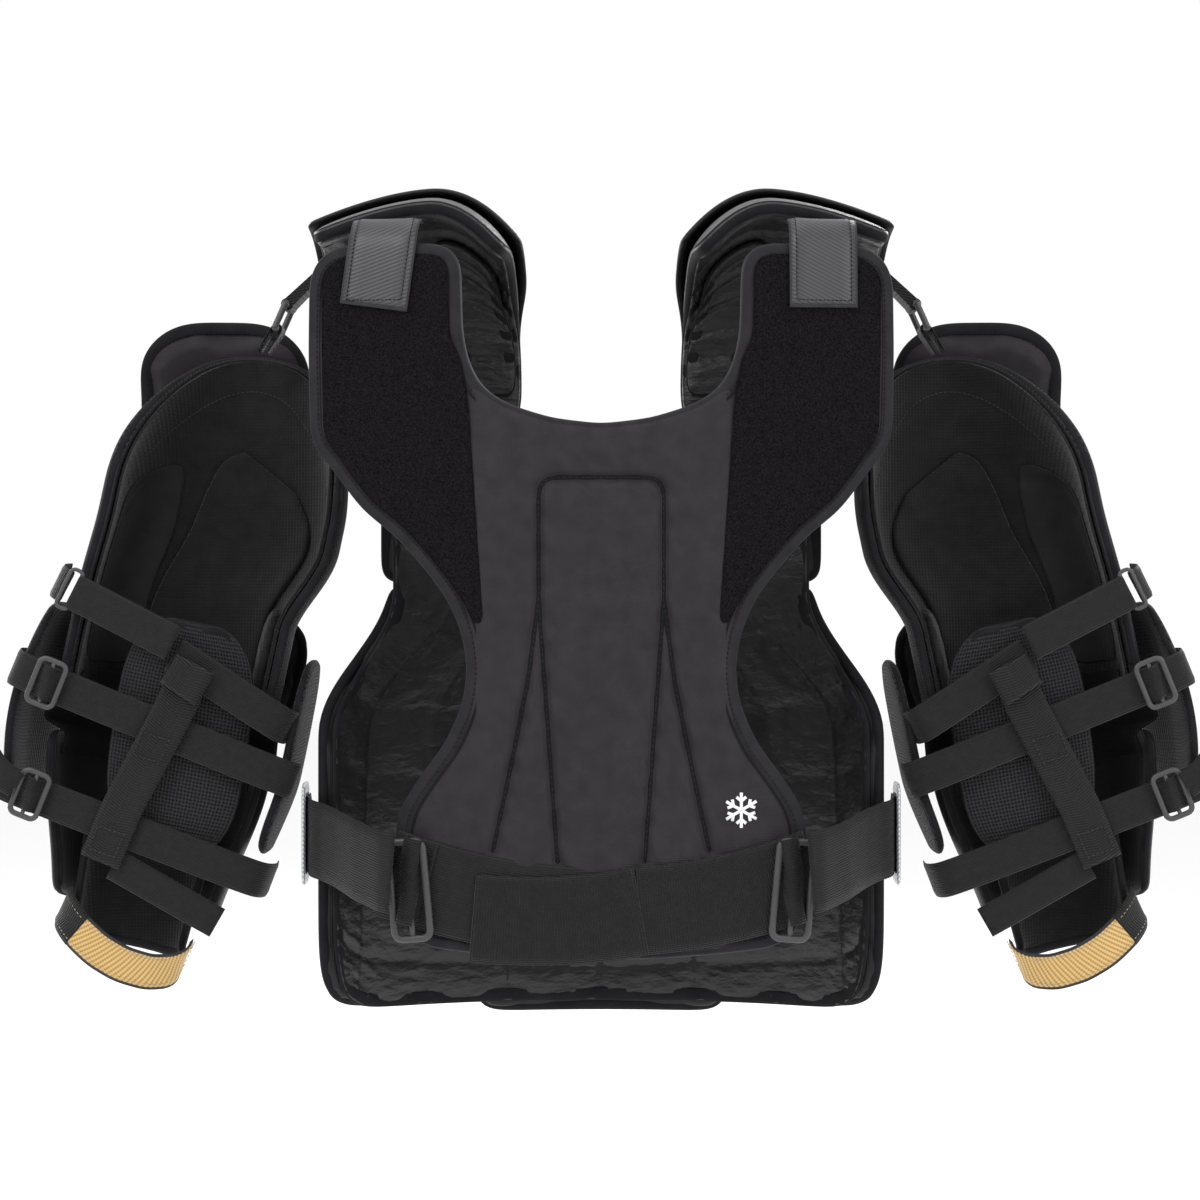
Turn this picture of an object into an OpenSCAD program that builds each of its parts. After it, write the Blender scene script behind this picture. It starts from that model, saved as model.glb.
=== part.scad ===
// Ice-hockey goaltender's chest and arm protector, seen from the wearer's back at -Y.
// +X is the wearer's right, +Y is the wearer's front and +Z is up. Millimetres.
// The origin is midway between the wearer's shoulders, where the two yokes rest on them.

/* [Torso] */
// Half-width of the belly lining
belly_half_w = 237; // [225:1:240]
// Half-width of the chest lining under the arms
chest_half_w = 188; // [175:1:190]
// How far in front of the shoulders the belly lining stands
belly_depth = 112; // [100:1:120]
// Height of the lowest point of the belly
belly_bottom = -684; // [-690:1:-660]
// Height of the front neckline, where the yokes begin
neckline_z = -148; // [-155:1:-140]
// Thickness of the belly blocks
belly_thick = 17; // [12:1:18]
// Thickness of the chest block
chest_thick = 22; // [16:1:24]

/* [Yokes] */
// Thickness of each padded shoulder yoke
yoke_thick = 20; // [16:1:22]
// Reach of each yoke along the shoulder
yoke_out = 250; // [240:1:252]

/* [Back panel] */
// Half-width across the loop shoulders
back_shoulder_half_w = 248; // [240:1:250]
// Half-width of the narrow middle
back_waist_half_w = 113; // [105:1:125]
// Half-width of the lumbar flare
back_flare_half_w = 175; // [165:1:185]
// Slope of the back panel in degrees, which brings its foot nearer the wearer
back_tilt = 2; // [1:0.5:3]
// Half of the panel's total thickness
back_half_t = 8; // [7:0.5:9]
// Width of the edge binding
binding_w = 9; // [6:1:11]

/* [Waist strap] */
// Width of the elastic waist strap
waist_w = 76; // [70:1:76]
// Thickness of the elastic
elastic_t = 2.2; // [1.6:0.2:2.4]

/* [Arms] */
// Outward lean of each arm, in degrees
arm_lean = 12; // [11:0.5:14]
// Distance from the shoulder to the elbow axis
elbow_d = 300; // [296:1:304]
// Width of the arm elastics
arm_strap_w = 32; // [28:1:34]
// Radius of the clear space round the elbow axis
elbow_clear_r = 82; // [81:0.5:84]

/* [Hidden] */

// Shoulder of the arm's own frame, and the y of the arm's middle
arm_x = 318;
arm_z = -57;
arm_y = 50;
// Axis on which the whole arm lifts: the bar of its ring
ring_x = 284;
ring_z = -44;
ring_bar_r = 3;
ring_turn = 156;
ring_h = 24;
ring_low = [ring_x + ring_h * sin(ring_turn), ring_z + ring_h * cos(ring_turn)];

// ---------- small maths ----------
function mix(a, b, t) = a + (b - a) * t;
function clamp01(t) = min(1, max(0, t));
function ease(x, a, b) = let (t = clamp01((x - a) / (b - a))) t * t * (3 - 2 * t);
function unit(v) = v / norm(v);
function mirrored(points) = [for (i = [len(points) - 1 : -1 : 0]) [-points[i][0], points[i][1]]];

// Points along a quarter or other arc, for outlines
function arc(cx, cy, r, a0, a1, n = 6) =
    [for (i = [0 : n]) let (a = mix(a0, a1, i / n)) [cx + r * cos(a), cy + r * sin(a)]];

// A closed outline moved inwards by d, for points that run clockwise
function inset(p, d) =
    [for (i = [0 : len(p) - 1])
        let (a = p[(i + len(p) - 1) % len(p)], b = p[(i + 1) % len(p)], t = unit(b - a))
        p[i] + d * [t[1], -t[0]]];

// ---------- padded sheets ----------
// A sheet is a function of u from -1 to 1 and v from 0 to 1. The pad fills the space between
// the offsets low and high along its normal, and thins to a share of that along its rim.
function normal_of(f, u, v, e = 0.004) =
    let (n = cross(f(u + e, v) - f(u - e, v), f(u, v + e) - f(u, v - e))) unit(n);
function rim(u, v, thin) =
    thin + (1 - thin) * pow((1 - pow(abs(u), 8)) * (1 - pow(abs(2 * v - 1), 8)), 0.5);
function sheet_points(f, nu, nv, low, high, u0, u1, v0, v1, thin, side) =
    [for (i = [0 : nu]) for (j = [0 : nv])
        let (
            u = mix(u0, u1, i / nu),
            v = mix(v0, v1, j / nv),
            r = rim(2 * i / nu - 1, j / nv, thin),
            middle = (low + high) / 2
        )
        f(u, v) + normal_of(f, u, v) * (middle + side * (high - low) / 2 * r)];
function sheet_faces(nu, nv) =
    let (row = nv + 1, far = (nu + 1) * row)
    concat(
        [for (i = [0 : nu - 1]) for (j = [0 : nv - 1]) for (k = [0, 1])
            let (a = i * row + j, b = a + 1, c = a + row + 1, d = a + row)
            k == 0 ? [a, b, c] : [a, c, d]],
        [for (i = [0 : nu - 1]) for (j = [0 : nv - 1]) for (k = [0, 1])
            let (a = far + i * row + j, b = a + 1, c = a + row + 1, d = a + row)
            k == 0 ? [a, c, b] : [a, d, c]],
        [for (i = [0 : nu - 1]) for (e = [0, 1]) for (k = [0, 1])
            let (a = i * row + e * nv, b = a + row, c = b + far, d = a + far)
            e == 0 ? (k == 0 ? [a, b, c] : [a, c, d]) : (k == 0 ? [a, c, b] : [a, d, c])],
        [for (j = [0 : nv - 1]) for (e = [0, 1]) for (k = [0, 1])
            let (a = e * nu * row + j, b = a + 1, c = b + far, d = a + far)
            e == 0 ? (k == 0 ? [a, c, b] : [a, d, c]) : (k == 0 ? [a, b, c] : [a, c, d])]
    );
module pad(f, nu, nv, low, high, u0 = -1, u1 = 1, v0 = 0, v1 = 1, thin = 0.55)
    polyhedron(
        points = concat(
            sheet_points(f, nu, nv, low, high, u0, u1, v0, v1, thin, 1),
            sheet_points(f, nu, nv, low, high, u0, u1, v0, v1, thin, -1)
        ),
        faces = sheet_faces(nu, nv)
    );

// A strap of the given width along a path: path(v) is its middle line and across(v) its width
module strap(path, across, width, nv, thick = elastic_t)
    pad(function (u, v) path(v) + across(v) * u * width / 2, 1, nv, -thick / 2, thick / 2, thin = 1);

// ---------- front of the torso ----------
belly_top = -300;
function front_half_w(z) = mix(belly_half_w, chest_half_w, ease(z, -430, -305));
function front_at(u, z) =
    let (
        s = ease(z, -440, -300),
        a = mix(80, 58, s),
        y_mid = mix(belly_depth, belly_depth - 8, s),
        y_edge = mix(-4, 48, s)
    )
    [front_half_w(z) * sin(a * u) / sin(a),
     y_edge + (y_mid - y_edge) * (cos(a * u) - cos(a)) / (1 - cos(a)), z];
function belly_foot(u) = belly_bottom + 6 * pow(abs(u), 2) + 38 * pow(abs(u), 12);
front_sheet = function (u, v) front_at(u, mix(neckline_z, belly_foot(u), v));
belly_sheet = function (u, v) front_at(u, mix(belly_top, belly_foot(u), v));
chest_sheet = function (u, v) front_at(u, mix(neckline_z, belly_top + 3, v));

// Inner fabric of the whole front, against the wearer
module chest_lining() color("#141416") pad(front_sheet, 20, 24, -3, 2.2);

// Main chest block over the ribs
module chest_pad() color("#1c1c1f") pad(chest_sheet, 14, 5, 7.5, 7.5 + chest_thick);

// Centre belly block, which hangs a little below the side wings
module belly_pad() color("#1c1c1f") pad(belly_sheet, 6, 9, 3.5, 3.5 + belly_thick, -0.36, 0.36);

// The two side blocks, which wrap round the ribs
module belly_wings() color("#1c1c1f") {
    pad(belly_sheet, 7, 15, 4.6, 3.5 + belly_thick, 0.385, 1);
    pad(belly_sheet, 7, 15, 4.6, 3.5 + belly_thick, -1, -0.385);
}

// ---------- yokes over the shoulders ----------
function bezier(p, t) =
    pow(1 - t, 3) * p[0] + 3 * pow(1 - t, 2) * t * p[1] + 3 * (1 - t) * t * t * p[2] + pow(t, 3) * p[3];
yoke_path = [[-74, 6], [58, 38], [112, -30], [104, neckline_z + 4]];
function yoke_crown(w) = w < 0.38 ? 20 - 42 * pow((0.38 - w) / 0.38, 2) : 20 - 28 * pow((w - 0.38) / 0.62, 1.6);
yoke_sheet = function (u, v)
    let (
        w = (u + 1) / 2,
        p = bezier(yoke_path, v),
        x = mix(mix(84, 74, v), mix(yoke_out, 182, ease(v, 0.5, 1)), w)
    )
    [x, p[0], p[1] + yoke_crown(w) * ease(1 - v, 0.15, 0.6)];

// Quilted pad that carries the weight on the shoulder
module yoke_right() color("#151517") pad(yoke_sheet, 8, 12, -yoke_thick / 2, yoke_thick / 2);
module yoke_left() mirror([1, 0, 0]) yoke_right();

// Square-cornered outer cover over each yoke
module yoke_cover_right() color("#101012") pad(yoke_sheet, 8, 9, 14, 17.5, -1, 1, 1 / 6, 11 / 12, 1);
module yoke_cover_left() mirror([1, 0, 0]) yoke_cover_right();

// Stiff sheets: one between the chest block and the lining, and one under each yoke's cover
module shoulder_plate() pad(yoke_sheet, 4, 5, 10.8, 13.2, -0.25, 0.75, 1 / 6, 7 / 12, 1);
module torso_plates() color("#d8d8d2") {
    pad(chest_sheet, 6, 3, 3.2, 5.6, -0.4, 0.4, 0.15, 0.85, 1);
    shoulder_plate();
    mirror([1, 0, 0]) shoulder_plate();
}

// Webbing loop round a bar at [x, z], with its tail drawn to the two points of the seam [x, z]
module bar_loop(bar, seam) {
    toward = unit((seam[0] + seam[1]) / 2 - bar);
    side = 5 * [-toward[1], toward[0]];
    difference() {
        union() {
            translate([bar[0], arm_y - 15, bar[1]]) rotate([-90, 0, 0]) cylinder(r = 5.6, h = 30, $fn = 32);
            translate([0, arm_y + 15, 0]) rotate([90, 0, 0]) linear_extrude(30)
                polygon([bar + side, seam[0], seam[1], bar - side]);
        }
        translate([bar[0], arm_y - 20, bar[1]]) rotate([-90, 0, 0])
            cylinder(r = ring_bar_r + 0.1, h = 40, $fn = 32);
    }
}

// Loops sewn to the yokes' outer edges, round the top bars of the arm rings
module hanger_loop() bar_loop([ring_x, ring_z], [[yoke_out + 1, -17], [yoke_out + 4, -10]]);
module hanger_loops() color("#18181a") {
    hanger_loop();
    mirror([1, 0, 0]) hanger_loop();
}

// ---------- back panel ----------
// One half of the outline, from the neck down to the middle of the foot
back_outer = concat(
    [[0, -163], [42, -158], [80, -146], [101, -132], [112, -113], [118, -87], [119, -50]],
    arc(139, -30, 20, 180, 90, 4),
    arc(back_shoulder_half_w - 32, -42, 32, 90, 0, 5),
    [[back_shoulder_half_w + 1, -100], [back_shoulder_half_w, -158]],
    arc(back_shoulder_half_w - 32, -165, 32, 0, -50, 4),
    [[203, -234], [173, -258], [148, -286], [129, -312], [back_waist_half_w + 4, -341],
     [back_waist_half_w, -371], [back_waist_half_w + 4, -400], [131, -432], [152, -460],
     [back_flare_half_w - 5, -487], [back_flare_half_w, -510], [back_flare_half_w, -560]],
    arc(back_flare_half_w - 42, -568, 42, 0, -75, 5),
    [[90, -613.5], [51, -616], [0, -617]]
);
function whole(half) = concat(mirrored(half), [for (i = [1 : len(half) - 2]) half[i]]);
back_outline = whole(back_outer);

// Side view slice of the curved back, between the offsets a and b outwards (towards -Y)
function back_y(x) = -116 + 30 * pow(x / 250, 2);
module back_slab(a, b, n = 20)
    rotate([back_tilt, 0, 0])
        translate([0, 0, -660]) linear_extrude(700)
            polygon(concat(
                [for (i = [0 : n]) let (x = mix(-262, 262, i / n)) [x, back_y(x) - b]],
                [for (i = [n : -1 : 0]) let (x = mix(-262, 262, i / n)) [x, back_y(x) - a]]
            ));
module back_layer(outline, a, b)
    intersection() {
        back_slab(a, b);
        rotate([90, 0, 0]) translate([0, 0, 20]) linear_extrude(180) polygon(outline);
    }

// Outer and inner fabric of the back panel
module back_cover() color("#2a292d") {
    back_layer(inset(back_outline, binding_w + 0.4), back_half_t - 1.6, back_half_t);
    back_layer(inset(back_outline, binding_w + 0.4), -back_half_t, -back_half_t + 1.6);
}

// Foam between the two fabrics
module back_core() color("#cfcabc") difference() {
    back_layer(inset(back_outline, binding_w + 0.4), -back_half_t + 1.8, back_half_t - 1.8);
    back_layer(spine_outline(0.6), -1.6, 1.6);
}

// Stiff sheet inside the foam, along the spine
function spine_outline(grow) = [[-42 - grow, -500 - grow], [42 + grow, -500 - grow], [52 + grow, -220 + grow], [-52 - grow, -220 + grow]];
module spine_plate() color("#d8d8d2") back_layer(spine_outline(0), -1, 1);

// Folded tape sewn round the edge of the back panel
module back_binding() color("#3a383c") difference() {
    back_layer(back_outline, -back_half_t - 0.8, back_half_t + 0.8);
    back_layer(inset(back_outline, binding_w), -back_half_t - 4, back_half_t + 4);
}

// Loop-pile patches that the shoulder tabs grip
loop_half = concat(
    [[112, -150], [118, -108], [129, -88], [129, -50]],
    arc(142, -33, 13, 180, 90, 3),
    arc(back_shoulder_half_w - 34, -44, 24, 90, 0, 4),
    [[back_shoulder_half_w - 10, -100], [back_shoulder_half_w - 11, -158]],
    arc(back_shoulder_half_w - 34, -165, 23, 0, -50, 3),
    [[196, -227], [167, -250], [141, -280], [121, -306], [106, -334], [100, -330]]
);
module loop_patches() color("#0c0c0e") intersection() {
    union() {
        back_layer(loop_half, back_half_t + 0.2, back_half_t + 1.6);
        back_layer(mirrored(loop_half), back_half_t + 0.2, back_half_t + 1.6);
    }
    back_layer(inset(back_outline, binding_w + 0.4), back_half_t - 1, back_half_t + 4);
}

// ---------- waist strap ----------
waist_z = -538;
function waist_top(x) = waist_z + 22 * pow(x / 150, 2);
function waist_band(x0, x1, drop0, n = 10) = concat(
    [for (i = [0 : n]) let (x = mix(x0, x1, i / n)) [x, waist_top(x) - waist_w - mix(drop0, 0, i / n)]],
    [for (i = [n : -1 : 0]) let (x = mix(x0, x1, i / n)) [x, waist_top(x) - mix(drop0, 0, i / n)]]
);
under = back_half_t + 2;
over = under + elastic_t + 0.5;

// Elastic across the back: the left run passes under, and the right run starts over it
module waist_strap() color("#1d1d1d") {
    back_layer(waist_band(-182, 30, 0), under, under + elastic_t);
    back_layer(waist_band(34, 182, 0), under, under + elastic_t);
}

// Free end of the strap, which closes on the other run with hook and loop
flap_hinge_x = 33;
module waist_flap() color("#222222") back_layer(waist_band(-109, flap_hinge_x, 17), over, over + elastic_t);

// Three-bar slide: a rounded frame with two slots and a centre bar between them
module triglide(w, h, rail, bar, thick) {
    slot_w = (w - 2 * rail - bar) / 2;
    r = rail * 1.2;
    outline = concat(arc(w / 2 - r, h / 2 - r, r, 0, 90, 4), arc(-w / 2 + r, h / 2 - r, r, 90, 180, 4),
                     arc(-w / 2 + r, -h / 2 + r, r, 180, 270, 4), arc(w / 2 - r, -h / 2 + r, r, 270, 360, 4));
    linear_extrude(thick) difference() {
        polygon(outline);
        for (s = [-1, 1]) translate([s * (bar + slot_w) / 2, 0]) square([slot_w, h - 2 * rail], center = true);
    }
}
glide_x = 163;
module waist_triglide_right() color("#2f2f31")
    rotate([back_tilt, 0, 0]) translate([glide_x, back_y(glide_x) - over - elastic_t - 1.6, -554])
        rotate([90, 0, 0]) rotate([0, atan(60 * glide_x / 62500), 0]) rotate([0, 0, -5])
            triglide(36, 88, 5, 4, 4);
module waist_triglide_left() mirror([1, 0, 0]) waist_triglide_right();

// Elastic from the back panel round the edge of each belly wing
side_route = [[176, -127, -541], [186, -122, -540], [212, -82, -534], [232, -42, -528], [246, -19, -525],
              [257, -8, -523], [262, 8, -521], [261.5, 30, -519]];
function route_at(p, v) =
    let (s = v * (len(p) - 1), i = max(0, min(len(p) - 2, floor(s)))) mix(p[i], p[i + 1], s - i);
module side_strap() strap(function (v) route_at(side_route, v), function (v) [0, 0, 1], 68, len(side_route) - 1);
module side_straps() color("#1d1d1d") {
    side_strap();
    mirror([1, 0, 0]) side_strap();
}

// Silver-edged pull tab at the end of each side strap
module side_tab_right() color("#c9ccd0")
    translate([264, -6, -566]) rotate([0, 0, 2]) rotate([90, 0, 90])
        linear_extrude(3) polygon(concat(arc(6, 6, 6, 180, 270, 3), arc(36, 6, 6, 270, 360, 3),
                                         arc(36, 86, 6, 0, 90, 3), arc(6, 86, 6, 90, 180, 3)));
module side_tab_left() mirror([1, 0, 0]) side_tab_right();

// Grey hook tab from each yoke, over the back panel's top edge and onto its loop patch
tab_x = 188;
tab_route = [[-80.5, 12], [-92, 13], [-103, 8], [-110.5, -5], [-110.8, -30], [-109.8, -64]];
function tab_at(v) = let (p = route_at(tab_route, v)) [tab_x, p[0], p[1]];
module shoulder_tab_right() color("#4b4c50")
    strap(function (v) tab_at(v), function (v) unit([-1, -0.18, 0]), 56, len(tab_route) - 1, 2.6);
module shoulder_tab_left() mirror([1, 0, 0]) shoulder_tab_right();

// ---------- arms, in the arm's own frame: x outwards, y to the front, -z down the arm ----------
module arm_frame() translate([arm_x, 0, arm_z]) rotate([0, -arm_lean, 0]) children();

function upper_w(d) = mix(mix(68, 96, ease(d, 20, 170)), 86, ease(d, 190, 270));
function upper_mid(d) = mix(-16, -2, ease(d, 190, 270));
function upper_depth(d) = mix(84, 72, ease(d, 190, 270));
function upper_top(u) = 28 + 100 * pow(abs(u), 2.4) + 12 * max(0, u);
upper_tail = 362;
upper_sheet = function (u, v)
    let (d = mix(upper_top(u), upper_tail - 12 * pow(abs(u), 4), v), t = 98 * u)
    [upper_mid(d) + upper_w(d) * sin(t), 14 + upper_depth(d) * cos(t), -d];

// Ring that the arm hangs from, turning on its top bar in the yoke's loop
module arm_ring_right() color("#2f2f31") {
    for (bar = [[ring_x, ring_z], ring_low])
        translate([bar[0], arm_y - 25, bar[1]]) rotate([-90, 0, 0]) cylinder(r = ring_bar_r, h = 50, $fn = 32);
    for (y = [arm_y - 25, arm_y + 25])
        translate([ring_x, y, ring_z]) rotate([0, ring_turn, 0]) cylinder(r = 2.9, h = ring_h, $fn = 24);
}
module arm_ring_left() mirror([1, 0, 0]) arm_ring_right();

// Loop sewn to the top of the arm, round the lower bar of its ring
module arm_loop_right() color("#18181a") bar_loop(ring_low, [[311, -86], [302, -88]]);
module arm_loop_left() mirror([1, 0, 0]) arm_loop_right();

// Outer pad of the upper arm, open towards the back
module upper_arm_pad_right() color("#1b1b1e") arm_frame() pad(upper_sheet, 14, 9, 0, 13);
module upper_arm_pad_left() mirror([1, 0, 0]) upper_arm_pad_right();

// Its brushed lining
module upper_arm_lining_right() color("#101011") arm_frame() pad(upper_sheet, 14, 9, -3.4, -0.6, thin = 1);
module upper_arm_lining_left() mirror([1, 0, 0]) upper_arm_lining_right();

// Raised foam panel against the biceps
module bicep_pad_right() color("#161618") arm_frame() pad(upper_sheet, 7, 6, -14, -4, -4 / 7, 3 / 7, 2 / 9, 8 / 9, 0.4);
module bicep_pad_left() mirror([1, 0, 0]) bicep_pad_right();

// Moulded cup over the point of the shoulder
module shoulder_cup_right() color("#222224") arm_frame() pad(upper_sheet, 8, 5, 13.6, 17, -0.55, 0.6, 0.03, 0.34, 1);
module shoulder_cup_left() mirror([1, 0, 0]) shoulder_cup_right();

// Rounded flap that floats over the shoulder cup
floater_sheet = function (u, v)
    let (
        round_x = 1 - 0.16 * pow(abs(2 * v - 1), 5),
        x = mix(276, 432, (1 + u * round_x) / 2),
        drop = 10 * pow(abs(u), 6)
    )
    [x, mix(126, 142, ease(v, 0, 0.6)) - 14 * pow((x - 318) / 130, 2), mix(-52 - drop, -188 + drop, v)];
module shoulder_floater_right() color("#1a1a1d") pad(floater_sheet, 8, 7, -7, 8);
module shoulder_floater_left() mirror([1, 0, 0]) shoulder_floater_right();

// Padded cup that turns with the forearm round the elbow axis
elbow_sheet = function (u, v)
    let (
        a = mix(-36 + 14 * pow(abs(u), 4), 70 - 8 * pow(abs(u), 4), v),
        r = mix(elbow_clear_r - 17, elbow_clear_r, ease(a, -36, -12)) - 14 * u * u
    )
    [-2 + 100 * u, arm_y + r * cos(a), -elbow_d - r * sin(a)];
module elbow_cup_right() color("#1b1b1e") arm_frame() pad(elbow_sheet, 8, 10, 0, 15);
module elbow_cup_left() mirror([1, 0, 0]) elbow_cup_right();

// Plates on both sides of the elbow
wing_out_sheet = function (u, v)
    let (y = 52 - 56 * u, d = mix(288 + 22 * pow(abs(u), 3), 474 - 20 * pow(abs(u), 3), v))
    [109 + 18 * ease(u, -1, 0.1) * sin(140 * v + 20), y, -d];
wing_in_sheet = function (u, v)
    let (y = 52 + 56 * u, d = mix(292 + 22 * pow(abs(u), 3), 470 - 20 * pow(abs(u), 3), v))
    [-119 - 4 * cos(80 * u) * sin(150 * v + 10) + 8 * ease(d, 400, 474), y, -d];
module elbow_wings_right() color("#1b1b1e") arm_frame() {
    pad(wing_out_sheet, 6, 7, -5, 7);
    pad(wing_in_sheet, 6, 7, -5, 6);
}
module elbow_wings_left() mirror([1, 0, 0]) elbow_wings_right();

// Outer pad of the forearm
forearm_sheet = function (u, v)
    let (d = mix(400, 548 - 10 * pow(abs(u), 4), v), t = 100 * u, w = mix(90, 62, ease(d, 400, 560)))
    [-3 - 6 * v + w * sin(t), 30 + 62 * cos(t), -d];
module forearm_pad_right() color("#1b1b1e") arm_frame() pad(forearm_sheet, 12, 6, 0, 12);
module forearm_pad_left() mirror([1, 0, 0]) forearm_pad_right();

// Mesh-covered pad under the straps, on the inside of the forearm
mesh_pad_sheet = function (u, v)
    let (half = 57 * pow(1 - pow(abs(2 * v - 1), 3.2), 0.4) + 3, d = mix(274, 486, v))
    [mix(-16, -30, v) - half * u, -7 + 8 * u * u, -d];

// Stretch gusset that joins the two halves of the arm behind it
sleeve_sheet = function (u, v)
    let (
        d = mix(340, 420, v),
        w = mix(78.5, 86, v) + 11 * ease(d, 364, 385) * (1 - ease(d, 386, 401)),
        y0 = mix(14, 26, ease(d, 345, 420)),
        depth = mix(64, 48, ease(d, 345, 372))
    )
    [-2 + w * sin(88 * u), y0 + depth * cos(88 * u), -d];
module forearm_mesh_pad_right() color("#17171a") arm_frame() {
    pad(mesh_pad_sheet, 6, 8, -5, 5, -1, 1, 0.02, 0.98);
    pad(sleeve_sheet, 10, 10, -0.8, 0.8, thin = 1);
}
module forearm_mesh_pad_left() mirror([1, 0, 0]) forearm_mesh_pad_right();

// Cross straps: each runs from the outer edge (x0, d0) to the inner edge (x1, d1) over the opening
strap_y = -20;
function cross_at(x0, d0, x1, d1, lift, v) =
    let (x = mix(x0, x1, v), r = (x + 2) / 124)
    [x, strap_y - lift * v + 8 * pow(abs(r), 6), -mix(d0, d1, v)];
module cross_strap(x0, d0, x1, d1, lift = 0, width = arm_strap_w)
    let (tilt = atan((d1 - d0) / (x0 - x1)))
    strap(function (v) cross_at(x0, d0, x1, d1, lift, v), function (v) [sin(tilt), 0, -cos(tilt)], width, 8);

// Elbow strap, in two runs that meet at the ladder strap
module top_strap_right() color("#202022") arm_frame() {
    cross_strap(94, 272, -4, 298, 10);
    cross_strap(-6, 308, -112, 350, 0);
}
module top_strap_left() mirror([1, 0, 0]) top_strap_right();

// Forearm straps
module forearm_straps_right() color("#202022") arm_frame() {
    cross_strap(128, 350, -127, 396);
    cross_strap(126, 449, -120, 488);
    cross_strap(8, 500, -92, 532, 0, 28);
}
module forearm_straps_left() mirror([1, 0, 0]) forearm_straps_right();

// Ladder strap that gathers the cross straps along the forearm
ladder_route = [[-24, -25, -318], [-18, -26, -350], [-4, -26, -400], [10, -26, -448], [20, -25, -500]];
module ladder_strap_right() color("#262628") arm_frame()
    strap(function (v) route_at(ladder_route, v), function (v) unit([1, 0, 0.3]), 38, 8, 2);
module ladder_strap_left() mirror([1, 0, 0]) ladder_strap_right();

// Slides on the two adjustable straps
module arm_triglide(x, d) arm_frame()
    translate([x, strap_y - 4.4, -d]) rotate([90, 0, 0]) rotate([0, 0, -10]) triglide(28, 44, 4, 3, 3.4);
module triglide_upper_right() color("#2f2f31") arm_triglide(98, 355.5);
module triglide_lower_right() color("#2f2f31") arm_triglide(92, 454.5);
module triglide_upper_left() mirror([1, 0, 0]) triglide_upper_right();
module triglide_lower_left() mirror([1, 0, 0]) triglide_lower_right();

// Soft cuff inside the end of the forearm pad
cuff_sheet = function (u, v)
    let (d = mix(476, 582 - 14 * pow(abs(u), 4), v), t = 104 * u)
    [-10 + mix(58, 52, v) * sin(t), 30 + 44 * cos(t), -d];
module wrist_cuff_right() color("#0f0f10") arm_frame() pad(cuff_sheet, 10, 5, -6, 0);
module wrist_cuff_left() mirror([1, 0, 0]) wrist_cuff_right();

// Gold wrist strap, which closes the cuff
wrist_route = [[44, 2, -556], [30, -8, -566], [8, -14, -578], [-16, -15, -586], [-40, -9, -589], [-58, 2, -586]];
module wrist_strap_right() color("#c49a4a") arm_frame()
    strap(function (v) route_at(wrist_route, v), function (v) unit([0.22, 0, -1]), 31, len(wrist_route) - 1, 3);
module wrist_strap_left() mirror([1, 0, 0]) wrist_strap_right();

// ---------- what is drawn ----------
chest_lining();
chest_pad();
belly_pad();
belly_wings();
yoke_left();
yoke_right();
yoke_cover_left();
yoke_cover_right();
torso_plates();
hanger_loops();
side_tab_left();
side_tab_right();
side_straps();
back_cover();
back_core();
spine_plate();
back_binding();
loop_patches();
waist_strap();
waist_flap();
waist_triglide_left();
waist_triglide_right();
shoulder_tab_left();
shoulder_tab_right();
arm_ring_left();
arm_loop_left();
upper_arm_pad_left();
upper_arm_lining_left();
bicep_pad_left();
shoulder_cup_left();
shoulder_floater_left();
elbow_cup_left();
elbow_wings_left();
forearm_pad_left();
forearm_mesh_pad_left();
ladder_strap_left();
top_strap_left();
forearm_straps_left();
triglide_upper_left();
triglide_lower_left();
wrist_cuff_left();
wrist_strap_left();
arm_ring_right();
arm_loop_right();
upper_arm_pad_right();
upper_arm_lining_right();
bicep_pad_right();
shoulder_cup_right();
shoulder_floater_right();
elbow_cup_right();
elbow_wings_right();
forearm_pad_right();
forearm_mesh_pad_right();
ladder_strap_right();
top_strap_right();
forearm_straps_right();
triglide_upper_right();
triglide_lower_right();
wrist_cuff_right();
wrist_strap_right();
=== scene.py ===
"""Ice-hockey goaltender's chest and arm protector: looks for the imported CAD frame.

Lengths are millimetres in the shape functions and metres in Blender. +X is the wearer's right,
+Y the wearer's front, +Z up, and each arm is made once for the right side and mirrored.
"""
import math

import bmesh
import bpy
import numpy as np
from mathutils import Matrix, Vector
from mathutils.geometry import delaunay_2d_cdt


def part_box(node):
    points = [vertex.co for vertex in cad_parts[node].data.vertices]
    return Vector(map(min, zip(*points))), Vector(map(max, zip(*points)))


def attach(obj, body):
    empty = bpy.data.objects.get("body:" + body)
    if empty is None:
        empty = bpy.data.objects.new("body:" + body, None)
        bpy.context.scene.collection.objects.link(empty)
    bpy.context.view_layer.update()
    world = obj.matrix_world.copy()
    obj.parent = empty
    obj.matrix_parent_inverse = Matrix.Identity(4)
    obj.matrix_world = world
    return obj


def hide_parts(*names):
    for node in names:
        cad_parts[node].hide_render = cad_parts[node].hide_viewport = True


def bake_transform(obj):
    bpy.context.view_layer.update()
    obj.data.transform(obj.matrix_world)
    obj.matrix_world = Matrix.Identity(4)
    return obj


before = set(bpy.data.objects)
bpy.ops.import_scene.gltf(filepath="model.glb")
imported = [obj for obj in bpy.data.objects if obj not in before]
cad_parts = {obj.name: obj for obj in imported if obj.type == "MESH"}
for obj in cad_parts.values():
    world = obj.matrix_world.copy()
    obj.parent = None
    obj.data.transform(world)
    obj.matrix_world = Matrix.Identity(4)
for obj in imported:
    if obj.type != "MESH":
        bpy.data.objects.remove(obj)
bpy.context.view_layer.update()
MM = 0.001
scene = bpy.context.scene

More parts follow.
